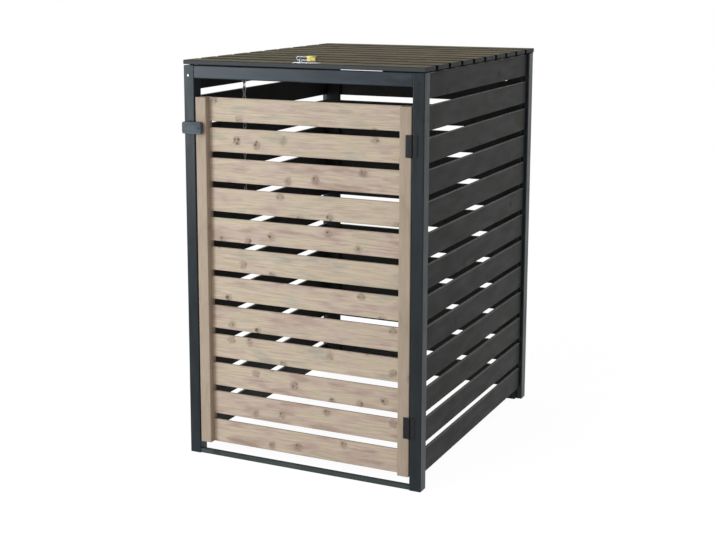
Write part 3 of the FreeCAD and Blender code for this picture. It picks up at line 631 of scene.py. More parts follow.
# %% [markdown]
# ## Flat pieces
# Leaves, plates and blocks start flat: an outline is pushed through a thickness, and the
# arrises are taken off, as stamping or a file would. Doing both in one working mesh keeps
# the piece closed.


# %% Flat pieces
def rounded(x0, y0, x1, y1, radii, steps=6):
    """Rectangle with its corners rounded; radii start at the low left, anticlockwise."""
    outline = []
    corners = ((x0, y0, 1, 1, 180), (x1, y0, -1, 1, 270), (x1, y1, -1, -1, 0),
               (x0, y1, 1, -1, 90))
    for (x, y, sx, sy, start), radius in zip(corners, radii):
        for i in range(steps + 1 if radius else 1):
            angle = math.radians(start + 90 * i / steps)
            outline.append((x + radius * (sx + math.cos(angle)),
                            y + radius * (sy + math.sin(angle))))
    return outline


def slab(bm, outline, low_side, high_side, matrix, arris=0.0):
    """Pushes an outline through a thickness and takes its arrises off."""
    bottom = [bm.verts.new((x, y, low_side)) for x, y in outline]
    face = bm.faces.new(bottom)
    made = bmesh.ops.extrude_face_region(bm, geom=[face])["geom"]
    top = [v for v in made if isinstance(v, bmesh.types.BMVert)]
    bmesh.ops.translate(bm, verts=top, vec=(0, 0, high_side - low_side))
    verts = set(bottom + top)
    if arris:
        rims = dict.fromkeys(e for v in bottom + top for e in v.link_edges
                             if abs(e.verts[0].co.z - e.verts[1].co.z) < 1e-9)
        softened = bmesh.ops.bevel(bm, geom=list(rims), offset=arris, segments=3,
                                   profile=0.5, affect="EDGES")
        verts = {v for v in verts if v.is_valid} | set(softened["verts"])
    bmesh.ops.transform(bm, matrix=matrix, verts=list(verts))


print("flat pieces ready")

# %% [markdown]
# ## From a working mesh to a piece
# Every piece ends the same way. Its faces are turned outwards and shaded softly between
# sharp creases, its doubles are merged so that no seam stays open, and then it gets one
# finish and rides on the body that carries it.


# %% Finished pieces
def meshed(bm, name, crease=35):
    """Outward faces, soft shading and sharp creases."""
    bmesh.ops.recalc_face_normals(bm, faces=bm.faces)
    for face in bm.faces:
        face.smooth = True
    for edge in bm.edges:
        edge.smooth = edge.calc_face_angle(math.pi) < math.radians(crease)
    mesh = bpy.data.meshes.new(name)
    bm.to_mesh(mesh)
    bm.free()
    return mesh


def shown(name, data):
    thing = bpy.data.objects.new(name, data)
    bpy.context.scene.collection.objects.link(thing)
    return thing


def baked(thing, name):
    """The evaluated object as a plain mesh with its caps welded on."""
    graph = bpy.context.evaluated_depsgraph_get()
    mesh = bpy.data.meshes.new_from_object(thing.evaluated_get(graph))
    bpy.data.objects.remove(thing)
    bm = bmesh.new()
    bm.from_mesh(mesh)
    bmesh.ops.remove_doubles(bm, verts=bm.verts, dist=0.001 * MM)
    return meshed(bm, name)


def finished(name, mesh, finish, body, slot, *replaced):
    """Puts a mesh into the scene as a piece that rides on a body."""
    if not mesh.polygons:
        raise ValueError(name + " came out empty")
    mesh.materials.clear()
    mesh.materials.append(finish)
    piece = shown(name, mesh)
    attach(piece, body)
    if replaced:
        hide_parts(*replaced)
    return piece


print("finishing ready")

# %% [markdown]
# ## Cuts and bent wire
# Holes and slots are cut with an exact boolean, because the pieces are closed and few. Bent
# wire is a curve with a round section: its path is easier to read than any mesh of it. The
# size of every wire in this lesson is its radius.


# %% Cuts and bent wire
COUNTERSINK = [(0, 0.5 * MM), (3.5 * MM, 0.5 * MM), (1.6 * MM, -1.4 * MM),
               (1.6 * MM, -3 * MM), (0, -3 * MM)]


def carve(mesh, cutter, name):
    """Cuts one closed mesh out of another."""
    work, tool = shown("work", mesh), shown("tool", cutter)
    cut = work.modifiers.new("cut", "BOOLEAN")
    cut.operation, cut.solver, cut.object = "DIFFERENCE", "EXACT", tool
    made = baked(work, name)
    bpy.data.objects.remove(tool)
    return made


def bent_wire(path, radius, matrix, name):
    """A round wire along a path that lies in the local XY plane."""
    data = bpy.data.curves.new(name, "CURVE")
    data.dimensions, data.bevel_depth, data.bevel_resolution = "3D", radius, 4
    data.use_fill_caps = True
    spline = data.splines.new("POLY")
    spline.points.add(len(path) - 1)
    for point, (x, y) in zip(spline.points, path):
        point.co = (*(matrix @ Vector((x, y, 0))), 1)
    return baked(shown(name, data), name)


def arc(x, y, radius, start, end, steps=16):
    """Points on an arc, in degrees."""
    angles = [math.radians(start + (end - start) * i / steps) for i in range(steps + 1)]
    return [(x + radius * math.cos(a), y + radius * math.sin(a)) for a in angles]


print("cuts and wire ready")

# %% [markdown]
# ## Running a node tree
# What repeats is grown by Geometry Nodes. A tree gets named inputs for its sizes, so one
# recipe serves many pieces. The result is turned into a plain mesh at once, because the
# exported model drops instances and modifiers.


# %% Trees with named inputs
def new_tree(name, sizes):
    """A geometry node tree with named inputs."""
    tree = bpy.data.node_groups.new(name, "GeometryNodeTree")
    tree.interface.new_socket("Geometry", in_out="INPUT", socket_type="NodeSocketGeometry")
    tree.interface.new_socket("Geometry", in_out="OUTPUT", socket_type="NodeSocketGeometry")
    for title, kind in sizes.items():
        tree.interface.new_socket(title, in_out="INPUT", socket_type="NodeSocket" + kind)
    return tree, add(tree, "NodeGroupInput").outputs


def grown(name, mesh, tree, values):
    """Runs a tree on a mesh and returns the result as a plain mesh."""
    thing = shown(name, mesh)
    modifier = thing.modifiers.new("grow", "NODES")
    modifier.node_group = tree
    for item in tree.interface.items_tree:
        if item.in_out == "INPUT" and item.name in values:
            modifier[item.identifier] = values[item.name]
    return baked(thing, name)


print("node trees ready")

# %% [markdown]
# ## A wood screw
# Small countersunk screws repeat all over the ironmongery. The tree makes a cone for the
# head and cuts the cross recess with a boolean; the second arm is a little lower, so that
# no two faces of the cutters lie in one plane. Then it adds the shank and sets the screw at
# every point of a mesh. A vector on each point says which way its head faces. A fitter
# never lines the crosses up, so each is turned by a random angle from a fixed seed.

# %% Node tree for the screws
ARM_WIDTH, LOWER_ARM = 0.27, 0.94  # shares of the recess's length and depth
SHANK_START = 0.8 * MM  # below the face of the head
screw_tree, given = new_tree("wood screws", {
    "Head Radius": "Float", "Head Height": "Float", "Shank Radius": "Float",
    "Length": "Float", "Recess": "Float", "Seed": "Int", "Finish": "Material"})
head = add(screw_tree, "GeometryNodeMeshCone", {
    "Vertices": 28, "Radius Top": given["Head Radius"],
    "Radius Bottom": given["Shank Radius"], "Depth": given["Head Height"]})
down = add(screw_tree, "ShaderNodeMath", (given["Head Height"], -1.0), operation="MULTIPLY")
down = add(screw_tree, "ShaderNodeCombineXYZ", {"Z": down})
head = add(screw_tree, "GeometryNodeTransform", {"Geometry": head, "Translation": down})
narrow = add(screw_tree, "ShaderNodeMath", (given["Recess"], ARM_WIDTH), operation="MULTIPLY")
arm = add(screw_tree, "ShaderNodeCombineXYZ", (given["Recess"], narrow, given["Head Height"]))
arm = add(screw_tree, "GeometryNodeMeshCube", {"Size": arm})
crossed = add(screw_tree, "GeometryNodeTransform", {
    "Geometry": arm, "Rotation": (0, 0, math.pi / 2), "Scale": (1, 1, LOWER_ARM)})
recessed = add(screw_tree, "GeometryNodeMeshBoolean", {"Mesh 1": head},
               operation="DIFFERENCE")
for cutter in (arm, crossed):
    screw_tree.links.new(cutter.outputs[0], recessed.inputs["Mesh 2"])
shank = add(screw_tree, "GeometryNodeMeshCylinder", {
    "Vertices": 12, "Radius": given["Shank Radius"], "Depth": given["Length"]})
down = add(screw_tree, "ShaderNodeMath", (given["Length"], -0.5, -SHANK_START),
           operation="MULTIPLY_ADD")
down = add(screw_tree, "ShaderNodeCombineXYZ", {"Z": down})
shank = add(screw_tree, "GeometryNodeTransform", {"Geometry": shank, "Translation": down})
screw = add(screw_tree, "GeometryNodeJoinGeometry")
for part in (recessed, shank):
    screw_tree.links.new(part.outputs[0], screw.inputs[0])
facing = add(screw_tree, "GeometryNodeInputNamedAttribute", {"Name": "facing"},
             data_type="FLOAT_VECTOR")
aim = add(screw_tree, "FunctionNodeAlignRotationToVector", {"Vector": facing}, axis="Z")
turn = add(screw_tree, "FunctionNodeRandomValue", {
    "Min": (0, 0, 0), "Max": (0, 0, math.pi), "Seed": given["Seed"]},
    data_type="FLOAT_VECTOR")
aim = add(screw_tree, "FunctionNodeRotateRotation", {"Rotation": aim, "Rotate By": turn},
          rotation_space="LOCAL")
placed = add(screw_tree, "GeometryNodeInstanceOnPoints", {
    "Points": given["Geometry"], "Instance": screw, "Rotation": aim})
placed = add(screw_tree, "GeometryNodeRealizeInstances", {"Geometry": placed})
placed = add(screw_tree, "GeometryNodeSetMaterial", {
    "Geometry": placed, "Material": given["Finish"]})
add(screw_tree, "NodeGroupOutput", {"Geometry": placed})
print("screw tree:", len(screw_tree.nodes), "nodes")

# %% [markdown]
# ## Screws at given spots
# A spot is a place on a surface and the direction that the head looks. The spots become the
# points of a small mesh, their directions go into an attribute, and the tree grows a screw
# on each. The heads are flush with the place, as a driver leaves them.


# %% Screws at given spots
SCREW = {"Head Radius": 2.9 * MM, "Head Height": 1.4 * MM, "Shank Radius": 1.5 * MM,
         "Recess": 3.4 * MM}


def screws(name, spots, body, slot, node, length=13 * MM, finish=zinc, seed=1):
    """Screws at (place, facing) spots; their heads are flush with the place."""
    mesh = bpy.data.meshes.new(name)
    mesh.from_pydata([place for place, _ in spots], [], [])
    mesh.attributes.new("facing", "FLOAT_VECTOR", "POINT")
    mesh.attributes["facing"].data.foreach_set(
        "vector", [v for _, direction in spots for v in direction])
    made = grown(name, mesh, screw_tree, {
        **SCREW, "Length": length, "Seed": seed, "Finish": finish})
    print(name, len(spots), "screws,", len(made.polygons), "faces")
    return finished(name, made, finish, body, slot, node)


print("screw heads", round(2 * SCREW["Head Radius"] / MM, 1), "mm across")

# %% [markdown]
# ## A hinge leaf
# A butt hinge is stamped from strip: the leaf is cut, countersunk, and curled round the pin
# in knuckles that interleave with the other leaf's. The plate gets rounded corners and its
# screw holes are cut by a boolean; the knuckles are short tubes. One function makes a leaf
# with its pin along Z, and a matrix carries it to the door or to the lid.

# %% A hinge leaf
LEAF = {"width": 17 * MM, "thickness": 1.6 * MM, "knuckle": 2.6 * MM, "lift": 0.2 * MM,
        "air": 0.4 * MM, "pin": 1.1 * MM}
reach = LEAF["knuckle"] + LEAF["lift"]
plate_near = LEAF["knuckle"] + LEAF["air"]
plate_face = reach - LEAF["thickness"]
hole_x = (plate_near + LEAF["width"]) / 2
SUNK, SHORTER = 0.02 * MM, 0.05 * MM  # keep the curl's faces off its neighbours' planes
LYING = axes((1, 0, 0), (0, 0, 1), (0, 1, 0))


def hinge_leaf(bm, length, knuckles, mine, holes):
    """Adds one leaf to bm; its pin runs along Z from the origin."""
    plate = bmesh.new()
    slab(plate, rounded(plate_near, 0, LEAF["width"], length,
                        (0, 2 * MM, 2 * MM, 0)), plate_face, reach, LYING, 0.2 * MM)
    cutters = bmesh.new()
    for hole in holes:
        turned(cutters, COUNTERSINK, moved(FACING_FRONT, (hole_x, plate_face, hole)), 24)
    cut = carve(meshed(plate, "plate"), meshed(cutters, "holes"), "leaf")
    bm.from_mesh(cut)
    segment = (length - (knuckles - 1) * LEAF["air"]) / knuckles
    r, bored, edge = LEAF["knuckle"], LEAF["pin"] + 0.2 * MM, 0.25 * MM
    for i in mine:
        foot = i * (segment + LEAF["air"])
        turned(bm, [(bored, foot), (r - edge, foot), (r, foot + edge),
                    (r, foot + segment - edge), (r - edge, foot + segment),
                    (bored, foot + segment)],
               FACING_UP, 32, ring=True)
        curl = [(0.5 * MM, r - SUNK), (1.6 * MM, plate_face),
                (plate_near + edge, plate_face + SUNK), (plate_near + edge, reach - SUNK)]
        slab(bm, curl, foot + SHORTER, foot + segment - SHORTER, FACING_UP)


print("leaf", round(LEAF["width"] / MM), "mm wide")

# %% [markdown]
# ## Leaves and pins
# The leaves of a pair are one piece of the scene, because they turn with the same body. The
# pins have small domed heads, which is where a real one is peened over.


# %% Leaves and pins
def leaves(name, places, length, knuckles, mine, holes, body, node):
    """One piece with a leaf at each place."""
    whole = bmesh.new()
    for matrix in places:
        one = bmesh.new()
        hinge_leaf(one, length, knuckles, mine, holes)
        bmesh.ops.transform(one, matrix=matrix, verts=one.verts)
        mesh = bpy.data.meshes.new("leaf")
        one.to_mesh(mesh)
        one.free()
        whole.from_mesh(mesh)
    made = meshed(whole, name)
    print(name, len(made.polygons), "faces")
    return finished(name, made, japan, body, "painted_hinge", node)


def pins(name, places, length, body, node):
    """Hinge pins with a small domed head at each end."""
    bm = bmesh.new()
    r, head, gap, tall = LEAF["pin"], 2.0 * MM, 0.15 * MM, 0.9 * MM
    dome = [(0, tall), (0.45 * head, 0.93 * tall), (0.8 * head, 0.65 * tall),
            (head, 0.1 * tall), (head, 0), (r, 0)]
    profile = [(x, length + gap + y) for x, y in dome] + [(x, -gap - y) for x, y in dome[::-1]]
    for matrix in places:
        turned(bm, profile, matrix, 24)
    return finished(name, meshed(bm, name), pin_steel, body, "painted_hinge", node)


print("leaves and pins ready")

# %% [markdown]
# ## Hanging the door and the lid
# The door's hinges lie flat on the front, so that both leaves show. The lid's hinges are
# bent round a corner: one leaf lies under the rear board and one hangs down the back post.
# Their places come from the boxes of the frame's own hinges, so they can't drift from them.

# %% Hinges of the door and of the lid
DOOR_HINGE, LID_HINGE = 60 * MM, 30 * MM
DOOR_SPACING, LID_SPACING = 25 * MM, 16 * MM  # from screw to screw
DOOR_HOLES = [DOOR_HINGE / 2 + i * DOOR_SPACING for i in (-1, 0, 1)]
LID_HOLES = [LID_HINGE / 2 + i * LID_SPACING for i in (-0.5, 0.5)]
pin_place = middle("door_hinge_pins")
feet = [low("door_hinge_post_leaves").z, high("door_hinge_post_leaves").z - DOOR_HINGE]
MIRRORED = axes((-1, 0, 0), (0, 1, 0), (0, 0, -1))
post_side = [moved(FACING_UP, (pin_place.x, pin_place.y, z)) for z in feet]
door_side = [moved(MIRRORED, (pin_place.x, pin_place.y, z + DOOR_HINGE)) for z in feet]
leaves("door_hinge_post_leaf_finish", post_side, DOOR_HINGE, 5, (0, 2, 4), DOOR_HOLES, "frame",
       "door_hinge_post_leaves")
leaves("door_hinge_stile_leaf_finish", door_side, DOOR_HINGE, 5, (1, 3), DOOR_HOLES, "door",
       "door_hinge_stile_leaves")
pins("door_hinge_pin_finish", post_side, DOOR_HINGE, "frame", "door_hinge_pins")

lid_pin = middle("lid_hinge_pins")
ends = [low("lid_hinge_lid_leaves").x + LID_HINGE, high("lid_hinge_lid_leaves").x]
PIN_ALONG_X = axes((0, -1, 0), (0, 0, 1), (-1, 0, 0))
HANGING = axes((0, 0, -1), (0, -1, 0), (-1, 0, 0))
under_lid = [moved(PIN_ALONG_X, (x, lid_pin.y, lid_pin.z)) for x in ends]
on_post = [moved(HANGING, (x, lid_pin.y, lid_pin.z)) for x in ends]
leaves("lid_hinge_lid_leaf_finish", under_lid, LID_HINGE, 3, (0, 2), LID_HOLES, "lid",
       "lid_hinge_lid_leaves")
leaves("lid_hinge_post_leaf_finish", on_post, LID_HINGE, 3, (1,), LID_HOLES, "frame",
       "lid_hinge_post_leaves")
pins("lid_hinge_pin_finish", under_lid, LID_HINGE, "frame", "lid_hinge_pins")
print("hinges hung:", len(feet), "on the door,", len(ends), "on the lid")

# %% [markdown]
# ## Screws of the hinges and of the posts
# The door's hinges are held by black screws, the lid's by zinc plated ones out of sight.
# One long screw at the top of each front post holds the side panel; the right one was
# painted over. The spots follow from the leaves' holes, so heads and countersinks meet.

# %% Screws of the hinges and of the posts
FRONT, BACK, DOWN, UP = (0, -1, 0), (0, 1, 0), (0, 0, -1), (0, 0, 1)
face_y = pin_place.y + plate_face
door_spots = [(Vector((pin_place.x - hole_x, face_y, z + hole)), FRONT)
              for z in feet for hole in DOOR_HOLES]
post_spots = [(Vector((pin_place.x + hole_x, face_y, z + hole)), FRONT)
              for z in feet for hole in DOOR_HOLES]
FRAME_HEAD = 2.95 * MM  # radius of a screw head of the frame
corner_z = high("frame_screws").z - FRAME_HEAD
screws("door_hinge_screw_heads", door_spots, "door", "screw_zinc", "door_hinge_screws",
       finish=japan)
screws("post_screw_heads", post_spots, "frame", "screw_zinc", "frame_screws", finish=japan,
       seed=2)
for panel, finish in (("left_side_slats", chain_zinc), ("right_side_slats", painted_post)):
    spot = Vector((middle(panel).x, low("post_front_left").y, corner_z))
    screws(panel + "_long_screw", [(spot, FRONT)], "frame", "screw_zinc", "frame_screws",
           finish=finish, seed=3)
screws("lid_hinge_post_screw_heads",
       [(Vector((x - hole, lid_pin.y - plate_face, lid_pin.z - hole_x)), BACK)
        for x in ends for hole in LID_HOLES], "frame", "screw_zinc", "lid_hinge_post_screws",
       seed=4)
screws("lid_hinge_lid_screw_heads",
       [(Vector((x - hole, lid_pin.y - hole_x, lid_pin.z + plate_face)), DOWN)
        for x in ends for hole in LID_HOLES], "lid", "screw_zinc", "lid_hinge_lid_screws",
       length=9 * MM, seed=5)

# %% [markdown]
# ## The chain
# The chain hangs from a screw eye under the left batten, and its hook can take the bin's own
# lid, so that both open together. Its links are bent from round wire, and every second one
# stands a quarter turn round, so the chain reads as ovals and edges in turn. One tree bends
# a link from a rounded rectangle, sweeps a circle along it, and repeats it down a line of
# points: 24 links made one by one would say the same thing 24 times.

# %% Node tree for the chain
NEARLY_HALF = 0.499  # a full half would leave edges of no length between the bends
chain_tree, given = new_tree("chain", {
    "Wire": "Float", "Inner Length": "Float", "Inner Width": "Float", "Slack": "Float",
    "Count": "Int", "Finish": "Material"})
thick, tall = (add(chain_tree, "ShaderNodeMath", (given["Wire"], 2.0, given[inner]),
                   operation="MULTIPLY_ADD") for inner in ("Inner Width", "Inner Length"))
bend = add(chain_tree, "ShaderNodeMath", (thick, NEARLY_HALF), operation="MULTIPLY")
oval = add(chain_tree, "GeometryNodeCurvePrimitiveQuadrilateral", {
    "Width": thick, "Height": tall})
oval = add(chain_tree, "GeometryNodeFilletCurve", {
    "Curve": oval, "Count": 5, "Radius": bend}, mode="POLY")
section = add(chain_tree, "GeometryNodeCurvePrimitiveCircle", {
    "Resolution": 8, "Radius": given["Wire"]})
link = add(chain_tree, "GeometryNodeCurveToMesh", {"Curve": oval, "Profile Curve": section})
upright = add(chain_tree, "GeometryNodeTransform", {
    "Geometry": link, "Rotation": (math.pi / 2, 0, math.pi / 2)})
step = add(chain_tree, "ShaderNodeMath", (given["Slack"], given["Inner Length"]),
           operation="SUBTRACT")
step = add(chain_tree, "ShaderNodeCombineXYZ", {"Z": step})
line = add(chain_tree, "GeometryNodeMeshLine", {"Count": given["Count"], "Offset": step},
           mode="OFFSET")
index = add(chain_tree, "GeometryNodeInputIndex")
odd = add(chain_tree, "ShaderNodeMath", (index, 2.0), operation="MODULO")
quarter = add(chain_tree, "ShaderNodeMath", (odd, math.pi / 2), operation="MULTIPLY")
quarter = add(chain_tree, "ShaderNodeCombineXYZ", {"Z": quarter})
links = add(chain_tree, "GeometryNodeInstanceOnPoints", {
    "Points": line, "Instance": upright, "Rotation": quarter})
links = add(chain_tree, "GeometryNodeRealizeInstances", {"Geometry": links})
links = add(chain_tree, "GeometryNodeSetMaterial", {
    "Geometry": links, "Material": given["Finish"]})
add(chain_tree, "NodeGroupOutput", {"Geometry": links})
print("chain tree:", len(chain_tree.nodes), "nodes")

# %% [markdown]
# ## The chain at its place
# The tree needs only sizes, so it runs on an empty mesh, and the first link is then moved to
# the top of the frame's own chain. Each link sits in the next with a little slack, as the
# links of a hanging chain do.

# %% The chain at its place
WIRE, INNER_LENGTH, INNER_WIDTH, SLACK, LINKS = 1.3 * MM, 13.4 * MM, 5.8 * MM, 0.3 * MM, 24
chain_place = middle("chain_links")
first_link = high("chain_links").z - INNER_LENGTH / 2 - 2 * WIRE
empty = bpy.data.meshes.new("chain_start")
made = grown("chain_finish", empty, chain_tree, {
    "Wire": WIRE, "Inner Length": INNER_LENGTH, "Inner Width": INNER_WIDTH, "Slack": SLACK,
    "Count": LINKS, "Finish": chain_zinc})
made.transform(Matrix.Translation((chain_place.x, chain_place.y, first_link)))
finished("chain_finish", made, chain_zinc, "chain", "chain_zinc", "chain_links")
print("chain:", LINKS, "links,", len(made.polygons), "faces")

# %% [markdown]
# ## Hook and screw eye
# An S hook ends the chain, and a screw eye holds its top. Both are wire bent round a pin, so
# their paths are made of arcs: two half circles for the hook, and for the eye a ring that
# stays a little open beside its shank.

# %% Hook and screw eye
HOOK_WIRE, HOOK_BEND, HOOK_HALF, HOOK_MOUTH = 1.8 * MM, 5 * MM, 9 * MM, 7 * MM
hook_path = ([(-HOOK_BEND, 0)] + arc(0, -HOOK_HALF, HOOK_BEND, 180, 360)
             + arc(0, HOOK_HALF, HOOK_BEND, 0, 180) + [(-HOOK_BEND, HOOK_MOUTH)])
hook = bent_wire(hook_path, HOOK_WIRE, moved(FACING_RIGHT, middle("chain_hook")), "hook_finish")
finished("hook_finish", hook, chain_zinc, "chain", "chain_zinc", "chain_hook")

EYE_WIRE, EYE_RADIUS = 1.5 * MM, 5.5 * MM
eye_centre = Vector((middle("chain_eye").x, middle("chain_eye").y,
                     low("chain_eye").z + EYE_RADIUS + EYE_WIRE))
eye_top = high("chain_eye").z - eye_centre.z
eye_path = [(0, eye_top), (0, EYE_RADIUS + 2 * EYE_WIRE)] + arc(0, 0, EYE_RADIUS, 82, -255, 30)
eye = bent_wire(eye_path, EYE_WIRE, moved(FACING_FRONT, eye_centre), "eye_finish")
finished("eye_finish", eye, zinc, "lid", "zinc_plate", "chain_eye")
print("hook and eye:", len(hook.polygons), len(eye.polygons), "faces")

# %% [markdown]
# ## The turn latch
# A block of painted timber turns on one round-headed screw and holds the door shut. Hands
# have worn its paint, so its arrises are softer than the saw left them.

# %% Latch block
LATCH_BORE, LATCH_CORNER, LATCH_ARRIS = 2.5 * MM, 6 * MM, 1.2 * MM
THROUGH, PAST = 1.0, 1 * MM  # a cutter goes far through, or stands a little out
latch_low, latch_high = low("latch_block"), high("latch_block")
screw_at = middle("latch_screw")
bm = bmesh.new()
slab(bm, rounded(latch_low.x, latch_low.z, latch_high.x, latch_high.z,
                 (LATCH_CORNER,) * 4, 10),
     -latch_high.y, -latch_low.y, FACING_FRONT, LATCH_ARRIS)
block = meshed(bm, "block")
bm = bmesh.new()
at_screw = moved(FACING_FRONT, (screw_at.x, 0, screw_at.z))
turned(bm, [(0, -THROUGH), (LATCH_BORE, -THROUGH), (LATCH_BORE, THROUGH), (0, THROUGH)],
       at_screw, 32)
block = carve(block, meshed(bm, "hole"), "latch_finish")
finished("latch_finish", block, worn_block, "latch", "latch_timber", "latch_block")
print("latch block:", len(block.polygons), "faces")

# %% [markdown]
# ## Washer
# The block turns on a washer, which keeps it off the door. It could be a cylinder with a
# hole cut through it, but a section swept round gives the hole and the broken edges at once.

# %% Washer
WASHER, WASHER_EDGE = 7 * MM, 0.2 * MM
bm = bmesh.new()
back, front = -high("latch_washer").y, -low("latch_washer").y
turned(bm, [(LATCH_BORE, back), (WASHER - WASHER_EDGE, back), (WASHER, back + WASHER_EDGE),
            (WASHER, front - WASHER_EDGE), (WASHER - WASHER_EDGE, front),
            (LATCH_BORE, front)], at_screw, 40, ring=True)
finished("latch_washer_finish", meshed(bm, "washer"), zinc, "door", "zinc_plate",
         "latch_washer")
print("washer", round(2 * WASHER / MM), "mm across")

# %% [markdown]
# ## Round-headed screw
# The screw's dome stands proud of the block. The cross in it is cut as one plus shape,
# because a boolean fails on two bars that lie in one plane. Head and recess were painted
# with the block.

# %% Round-headed screw
DOME, LATCH_SHANK, POINT, HEAD_AIR = 5 * MM, 2.4 * MM, 4 * MM, 0.2 * MM
FULLNESS = 0.8  # of the dome: 1 would be an ellipse
CROSS_ARM, CROSS_HALF, CROSS_DEPTH, CROSS_TURN = 2.4 * MM, 0.6 * MM, 1.6 * MM, 20
bm = bmesh.new()
top, tip, rim = -low("latch_screw").y, -high("latch_screw").y, -latch_low.y + HEAD_AIR
dome = [(DOME * math.sin(a), rim + (top - rim) * math.cos(a) ** FULLNESS)
        for a in [math.radians(15 * i) for i in range(6)]] + [(DOME, rim)]
turned(bm, dome + [(LATCH_SHANK, rim), (LATCH_SHANK, tip + POINT), (0, tip)], at_screw, 40)
round_head = meshed(bm, "round_head")
bm = bmesh.new()
spin = at_screw @ Matrix.Rotation(math.radians(CROSS_TURN), 4, "Z")
quarter = [(CROSS_ARM, -CROSS_HALF), (CROSS_ARM, CROSS_HALF), (CROSS_HALF, CROSS_HALF)]
cross = [(x * c - y * s, x * s + y * c)
         for c, s in ((1, 0), (0, 1), (-1, 0), (0, -1)) for x, y in quarter]
slab(bm, cross, top - CROSS_DEPTH, top + PAST, spin)
round_head = carve(round_head, meshed(bm, "cross"), "latch_screw_finish")
finished("latch_screw_finish", round_head, worn_block, "door", "screw_zinc", "latch_screw")
print("latch screw:", len(round_head.polygons), "faces")

# %% [markdown]
# ## Staple plate
# A zinc plate on the front lid board carries a bent staple for the padlock. It is stamped
# and countersunk as the hinges are, so it is made as they are: an outline with its arrises
# taken off, two holes cut, and a bow of wire set into it.

# %% Staple plate and its screws
plate_low = low("staple_plate")
PLATE_LENGTH, PLATE_WIDTH, PLATE_THICK, SCREW_EDGE = 76 * MM, 24 * MM, 1.5 * MM, 6 * MM
PLATE_CORNER, PLATE_ARRIS = 2 * MM, 0.3 * MM
plate_high = plate_low + Vector((PLATE_LENGTH, PLATE_WIDTH, PLATE_THICK))
lock_y = plate_low.y + PLATE_WIDTH / 2
plate_holes = [Vector((x, lock_y, plate_high.z))
               for x in (plate_low.x + SCREW_EDGE, plate_high.x - SCREW_EDGE)]
bm = bmesh.new()
slab(bm, rounded(plate_low.x, plate_low.y, plate_high.x, plate_high.y,
                 (PLATE_CORNER,) * 4),
     plate_low.z, plate_high.z, FACING_UP, PLATE_ARRIS)
plate = meshed(bm, "plate")
bm = bmesh.new()
for hole in plate_holes:
    turned(bm, COUNTERSINK, moved(FACING_UP, hole), 24)
plate = carve(plate, meshed(bm, "holes"), "staple_plate_finish")
STAPLE_WIRE, STAPLE_BEND, STAPLE_RISE, STAPLE_PLACE = 1.5 * MM, 5.5 * MM, 4.3 * MM, 19 * MM
staple_path = ([(STAPLE_BEND, -STAPLE_RISE)] + arc(0, 0, STAPLE_BEND, 0, 180)
               + [(-STAPLE_BEND, -STAPLE_RISE)])
staple = bent_wire(staple_path, STAPLE_WIRE,
                   moved(FACING_RIGHT, (plate_low.x + STAPLE_PLACE, lock_y,
                                        plate_high.z + STAPLE_RISE)), "staple")
bm = bmesh.new()
bm.from_mesh(plate)
bm.from_mesh(staple)
finished("staple_plate_finish", meshed(bm, "staple_plate_finish"), zinc, "lid", "zinc_plate",
         "staple_plate")
screws("plate_screw_heads", [(hole, UP) for hole in plate_holes], "lid", "screw_zinc",
       "plate_screws", length=9 * MM, seed=6)

# %% [markdown]
# ## The padlock's shackle
# The shackle is a bow of polished steel rod with one long leg, and it is bent wire again. The
# lock lies with one leg over the other: the short one passes through the staple, and comes
# free of it when the bow is pulled.

# %% Shackle
SHACKLE_WIRE, SHACKLE_BEND, SHACKLE_CLEAR = 1.6 * MM, 4.5 * MM, 28 * MM
SHACKLE_SEATS = (12 * MM, 5 * MM)
ON_ITS_SIDE = axes((0, 0, 1), (-1, 0, 0), (0, -1, 0))
lock_low, lock_high = low("padlock_body"), high("padlock_body")
lock_middle = middle("padlock_body")
bend_at = Vector((lock_low.x - SHACKLE_CLEAR, lock_middle.y, lock_middle.z))
shackle_path = ([(SHACKLE_BEND, -SHACKLE_CLEAR - SHACKLE_SEATS[0])]
                + arc(0, 0, SHACKLE_BEND, 0, 180)
                + [(-SHACKLE_BEND, -SHACKLE_CLEAR - SHACKLE_SEATS[1])])
shackle = bent_wire(shackle_path, SHACKLE_WIRE, moved(ON_ITS_SIDE, bend_at), "shackle_finish")
finished("shackle_finish", shackle, shackle_steel, "shackle", "shackle_steel",
         "padlock_shackle")
print("shackle:", len(shackle.polygons), "faces")

# %% [markdown]
# ## The padlock's body
# The body is cast and machined: rounded long edges, a turned plug with a keyway in its end,
# and rivets that show as faint rings. It is a slab from which these are cut, because the eye
# takes them for depth, which bump alone would lose in the exported mesh.

# %% Lock body
LOCK_CORNER, LOCK_ARRIS, SEAT_RADIUS, SEAT_AIR = 2 * MM, 0.8 * MM, 1.95 * MM, 0.3 * MM
PLUG, PLUG_RING, PLUG_DEPTH = 3.4 * MM, 0.3 * MM, 0.6 * MM
KEYWAY, KEYWAY_DEPTH = (0.45 * MM, 2.2 * MM), 4 * MM
RIVET, RIVET_RING, RIVET_DEPTH, RIVET_PLACE = 1.3 * MM, 0.2 * MM, 0.12 * MM, 5 * MM
bm = bmesh.new()
slab(bm, rounded(lock_low.y, lock_low.z, lock_high.y, lock_high.z, (LOCK_CORNER,) * 4),
     lock_low.x, lock_high.x, FACING_RIGHT, LOCK_ARRIS)
lock = meshed(bm, "lock")
bm = bmesh.new()
plug = moved(FACING_RIGHT, (lock_high.x, lock_middle.y, lock_middle.z))
turned(bm, [(PLUG - PLUG_RING, -PLUG_DEPTH), (PLUG, -PLUG_DEPTH), (PLUG, PAST),
            (PLUG - PLUG_RING, PAST)], plug, 32, ring=True)
slab(bm, [(x * KEYWAY[0], y * KEYWAY[1]) for x, y in ((-1, -1), (1, -1), (1, 1), (-1, 1))],
     -KEYWAY_DEPTH, PAST, plug)
lock = carve(lock, meshed(bm, "keyway"), "padlock")
bm = bmesh.new()
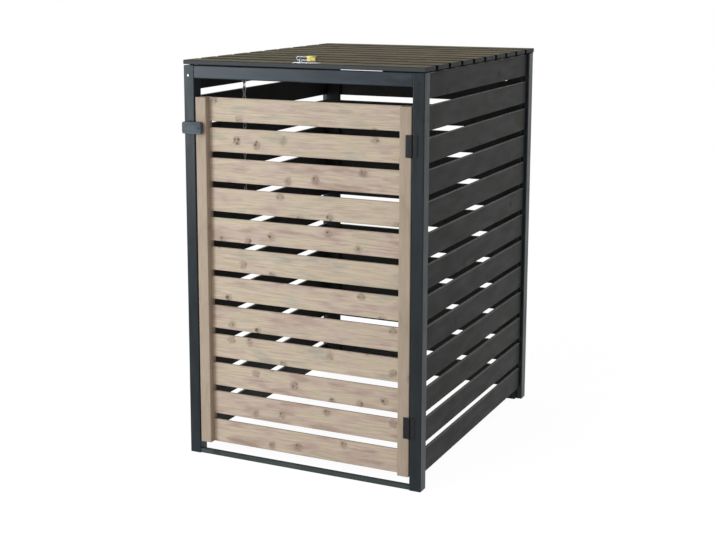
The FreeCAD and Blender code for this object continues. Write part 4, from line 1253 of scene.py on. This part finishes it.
for z, depth in ((SHACKLE_BEND, SHACKLE_SEATS[0]), (-SHACKLE_BEND, SHACKLE_SEATS[1])):
    turned(bm, [(0, -PAST), (SEAT_RADIUS, -PAST), (SEAT_RADIUS, depth + SEAT_AIR),
                (0, depth + SEAT_AIR)],
           moved(FACING_RIGHT, (lock_low.x, lock_middle.y, lock_middle.z + z)), 24)
for x in (lock_low.x + RIVET_PLACE, lock_high.x - RIVET_PLACE):
    turned(bm, [(RIVET - RIVET_RING, -RIVET_DEPTH), (RIVET, -RIVET_DEPTH), (RIVET, PAST),
                (RIVET - RIVET_RING, PAST)],
           moved(FACING_FRONT, (x, lock_low.y, lock_middle.z)), 24, ring=True)
lock = carve(lock, meshed(bm, "seats"), "padlock_finish")
finished("padlock_finish", lock, brass, "padlock", "padlock_brass", "padlock_body")
print("padlock:", len(lock.polygons), "faces")

# %% [markdown]
# ## Rubber bumpers
# A moulded rubber bumper on each front post catches the lid. Its mould gives it a soft rim,
# a slight taper, and a dimple for the nail that holds it.

# %% Rubber bumpers
bm = bmesh.new()
tall = high("lid_bumpers").z - low("lid_bumpers").z
outside = [(0, 0), (6.6 * MM, 0), (7 * MM, 0.5 * MM), (6.9 * MM, 0.6 * tall),
           (6.2 * MM, 0.92 * tall), (5 * MM, tall)]
dimple = [(1.6 * MM, tall), (1.4 * MM, 0.6 * tall), (0, 0.6 * tall)]
for x in (middle("post_front_left").x, middle("post_front_right").x):
    turned(bm, outside + dimple,
           moved(FACING_UP, (x, middle("lid_bumpers").y, low("lid_bumpers").z)), 32)
finished("bumper_finish", meshed(bm, "bumpers"), rubber, "frame", "bumper_rubber",
         "lid_bumpers")
print("bumpers", round(tall / MM, 1), "mm tall")

# %% [markdown]
# ## Finishes for the frame's own pieces
# The boards, posts and battens of the frame are already closed and softened at their edges,
# so they are kept as they are and only get their finish. The start of a piece's name says
# which one.

# %% Finishes for the frame's own pieces
FINISHES = {
    "post_": painted_post, "front_top_rail": painted_rail, "front_ground_strip": painted_strip,
    "left_side_slats": painted_panel, "right_side_slats": painted_panel,
    "back_slats": painted_back, "back_upright": shade_darkened_upright, "door_stile": stained_stile,
    "door_slat": stained_spruce, "lid_slat": lit_and_weathered_lid, "lid_batten": painted_panel,
}
for start, finish in FINISHES.items():
    for name, piece in nodes.items():
        if name.startswith(start):
            piece.data.materials.clear()
            piece.data.materials.append(finish)
print("finishes set on the timber")
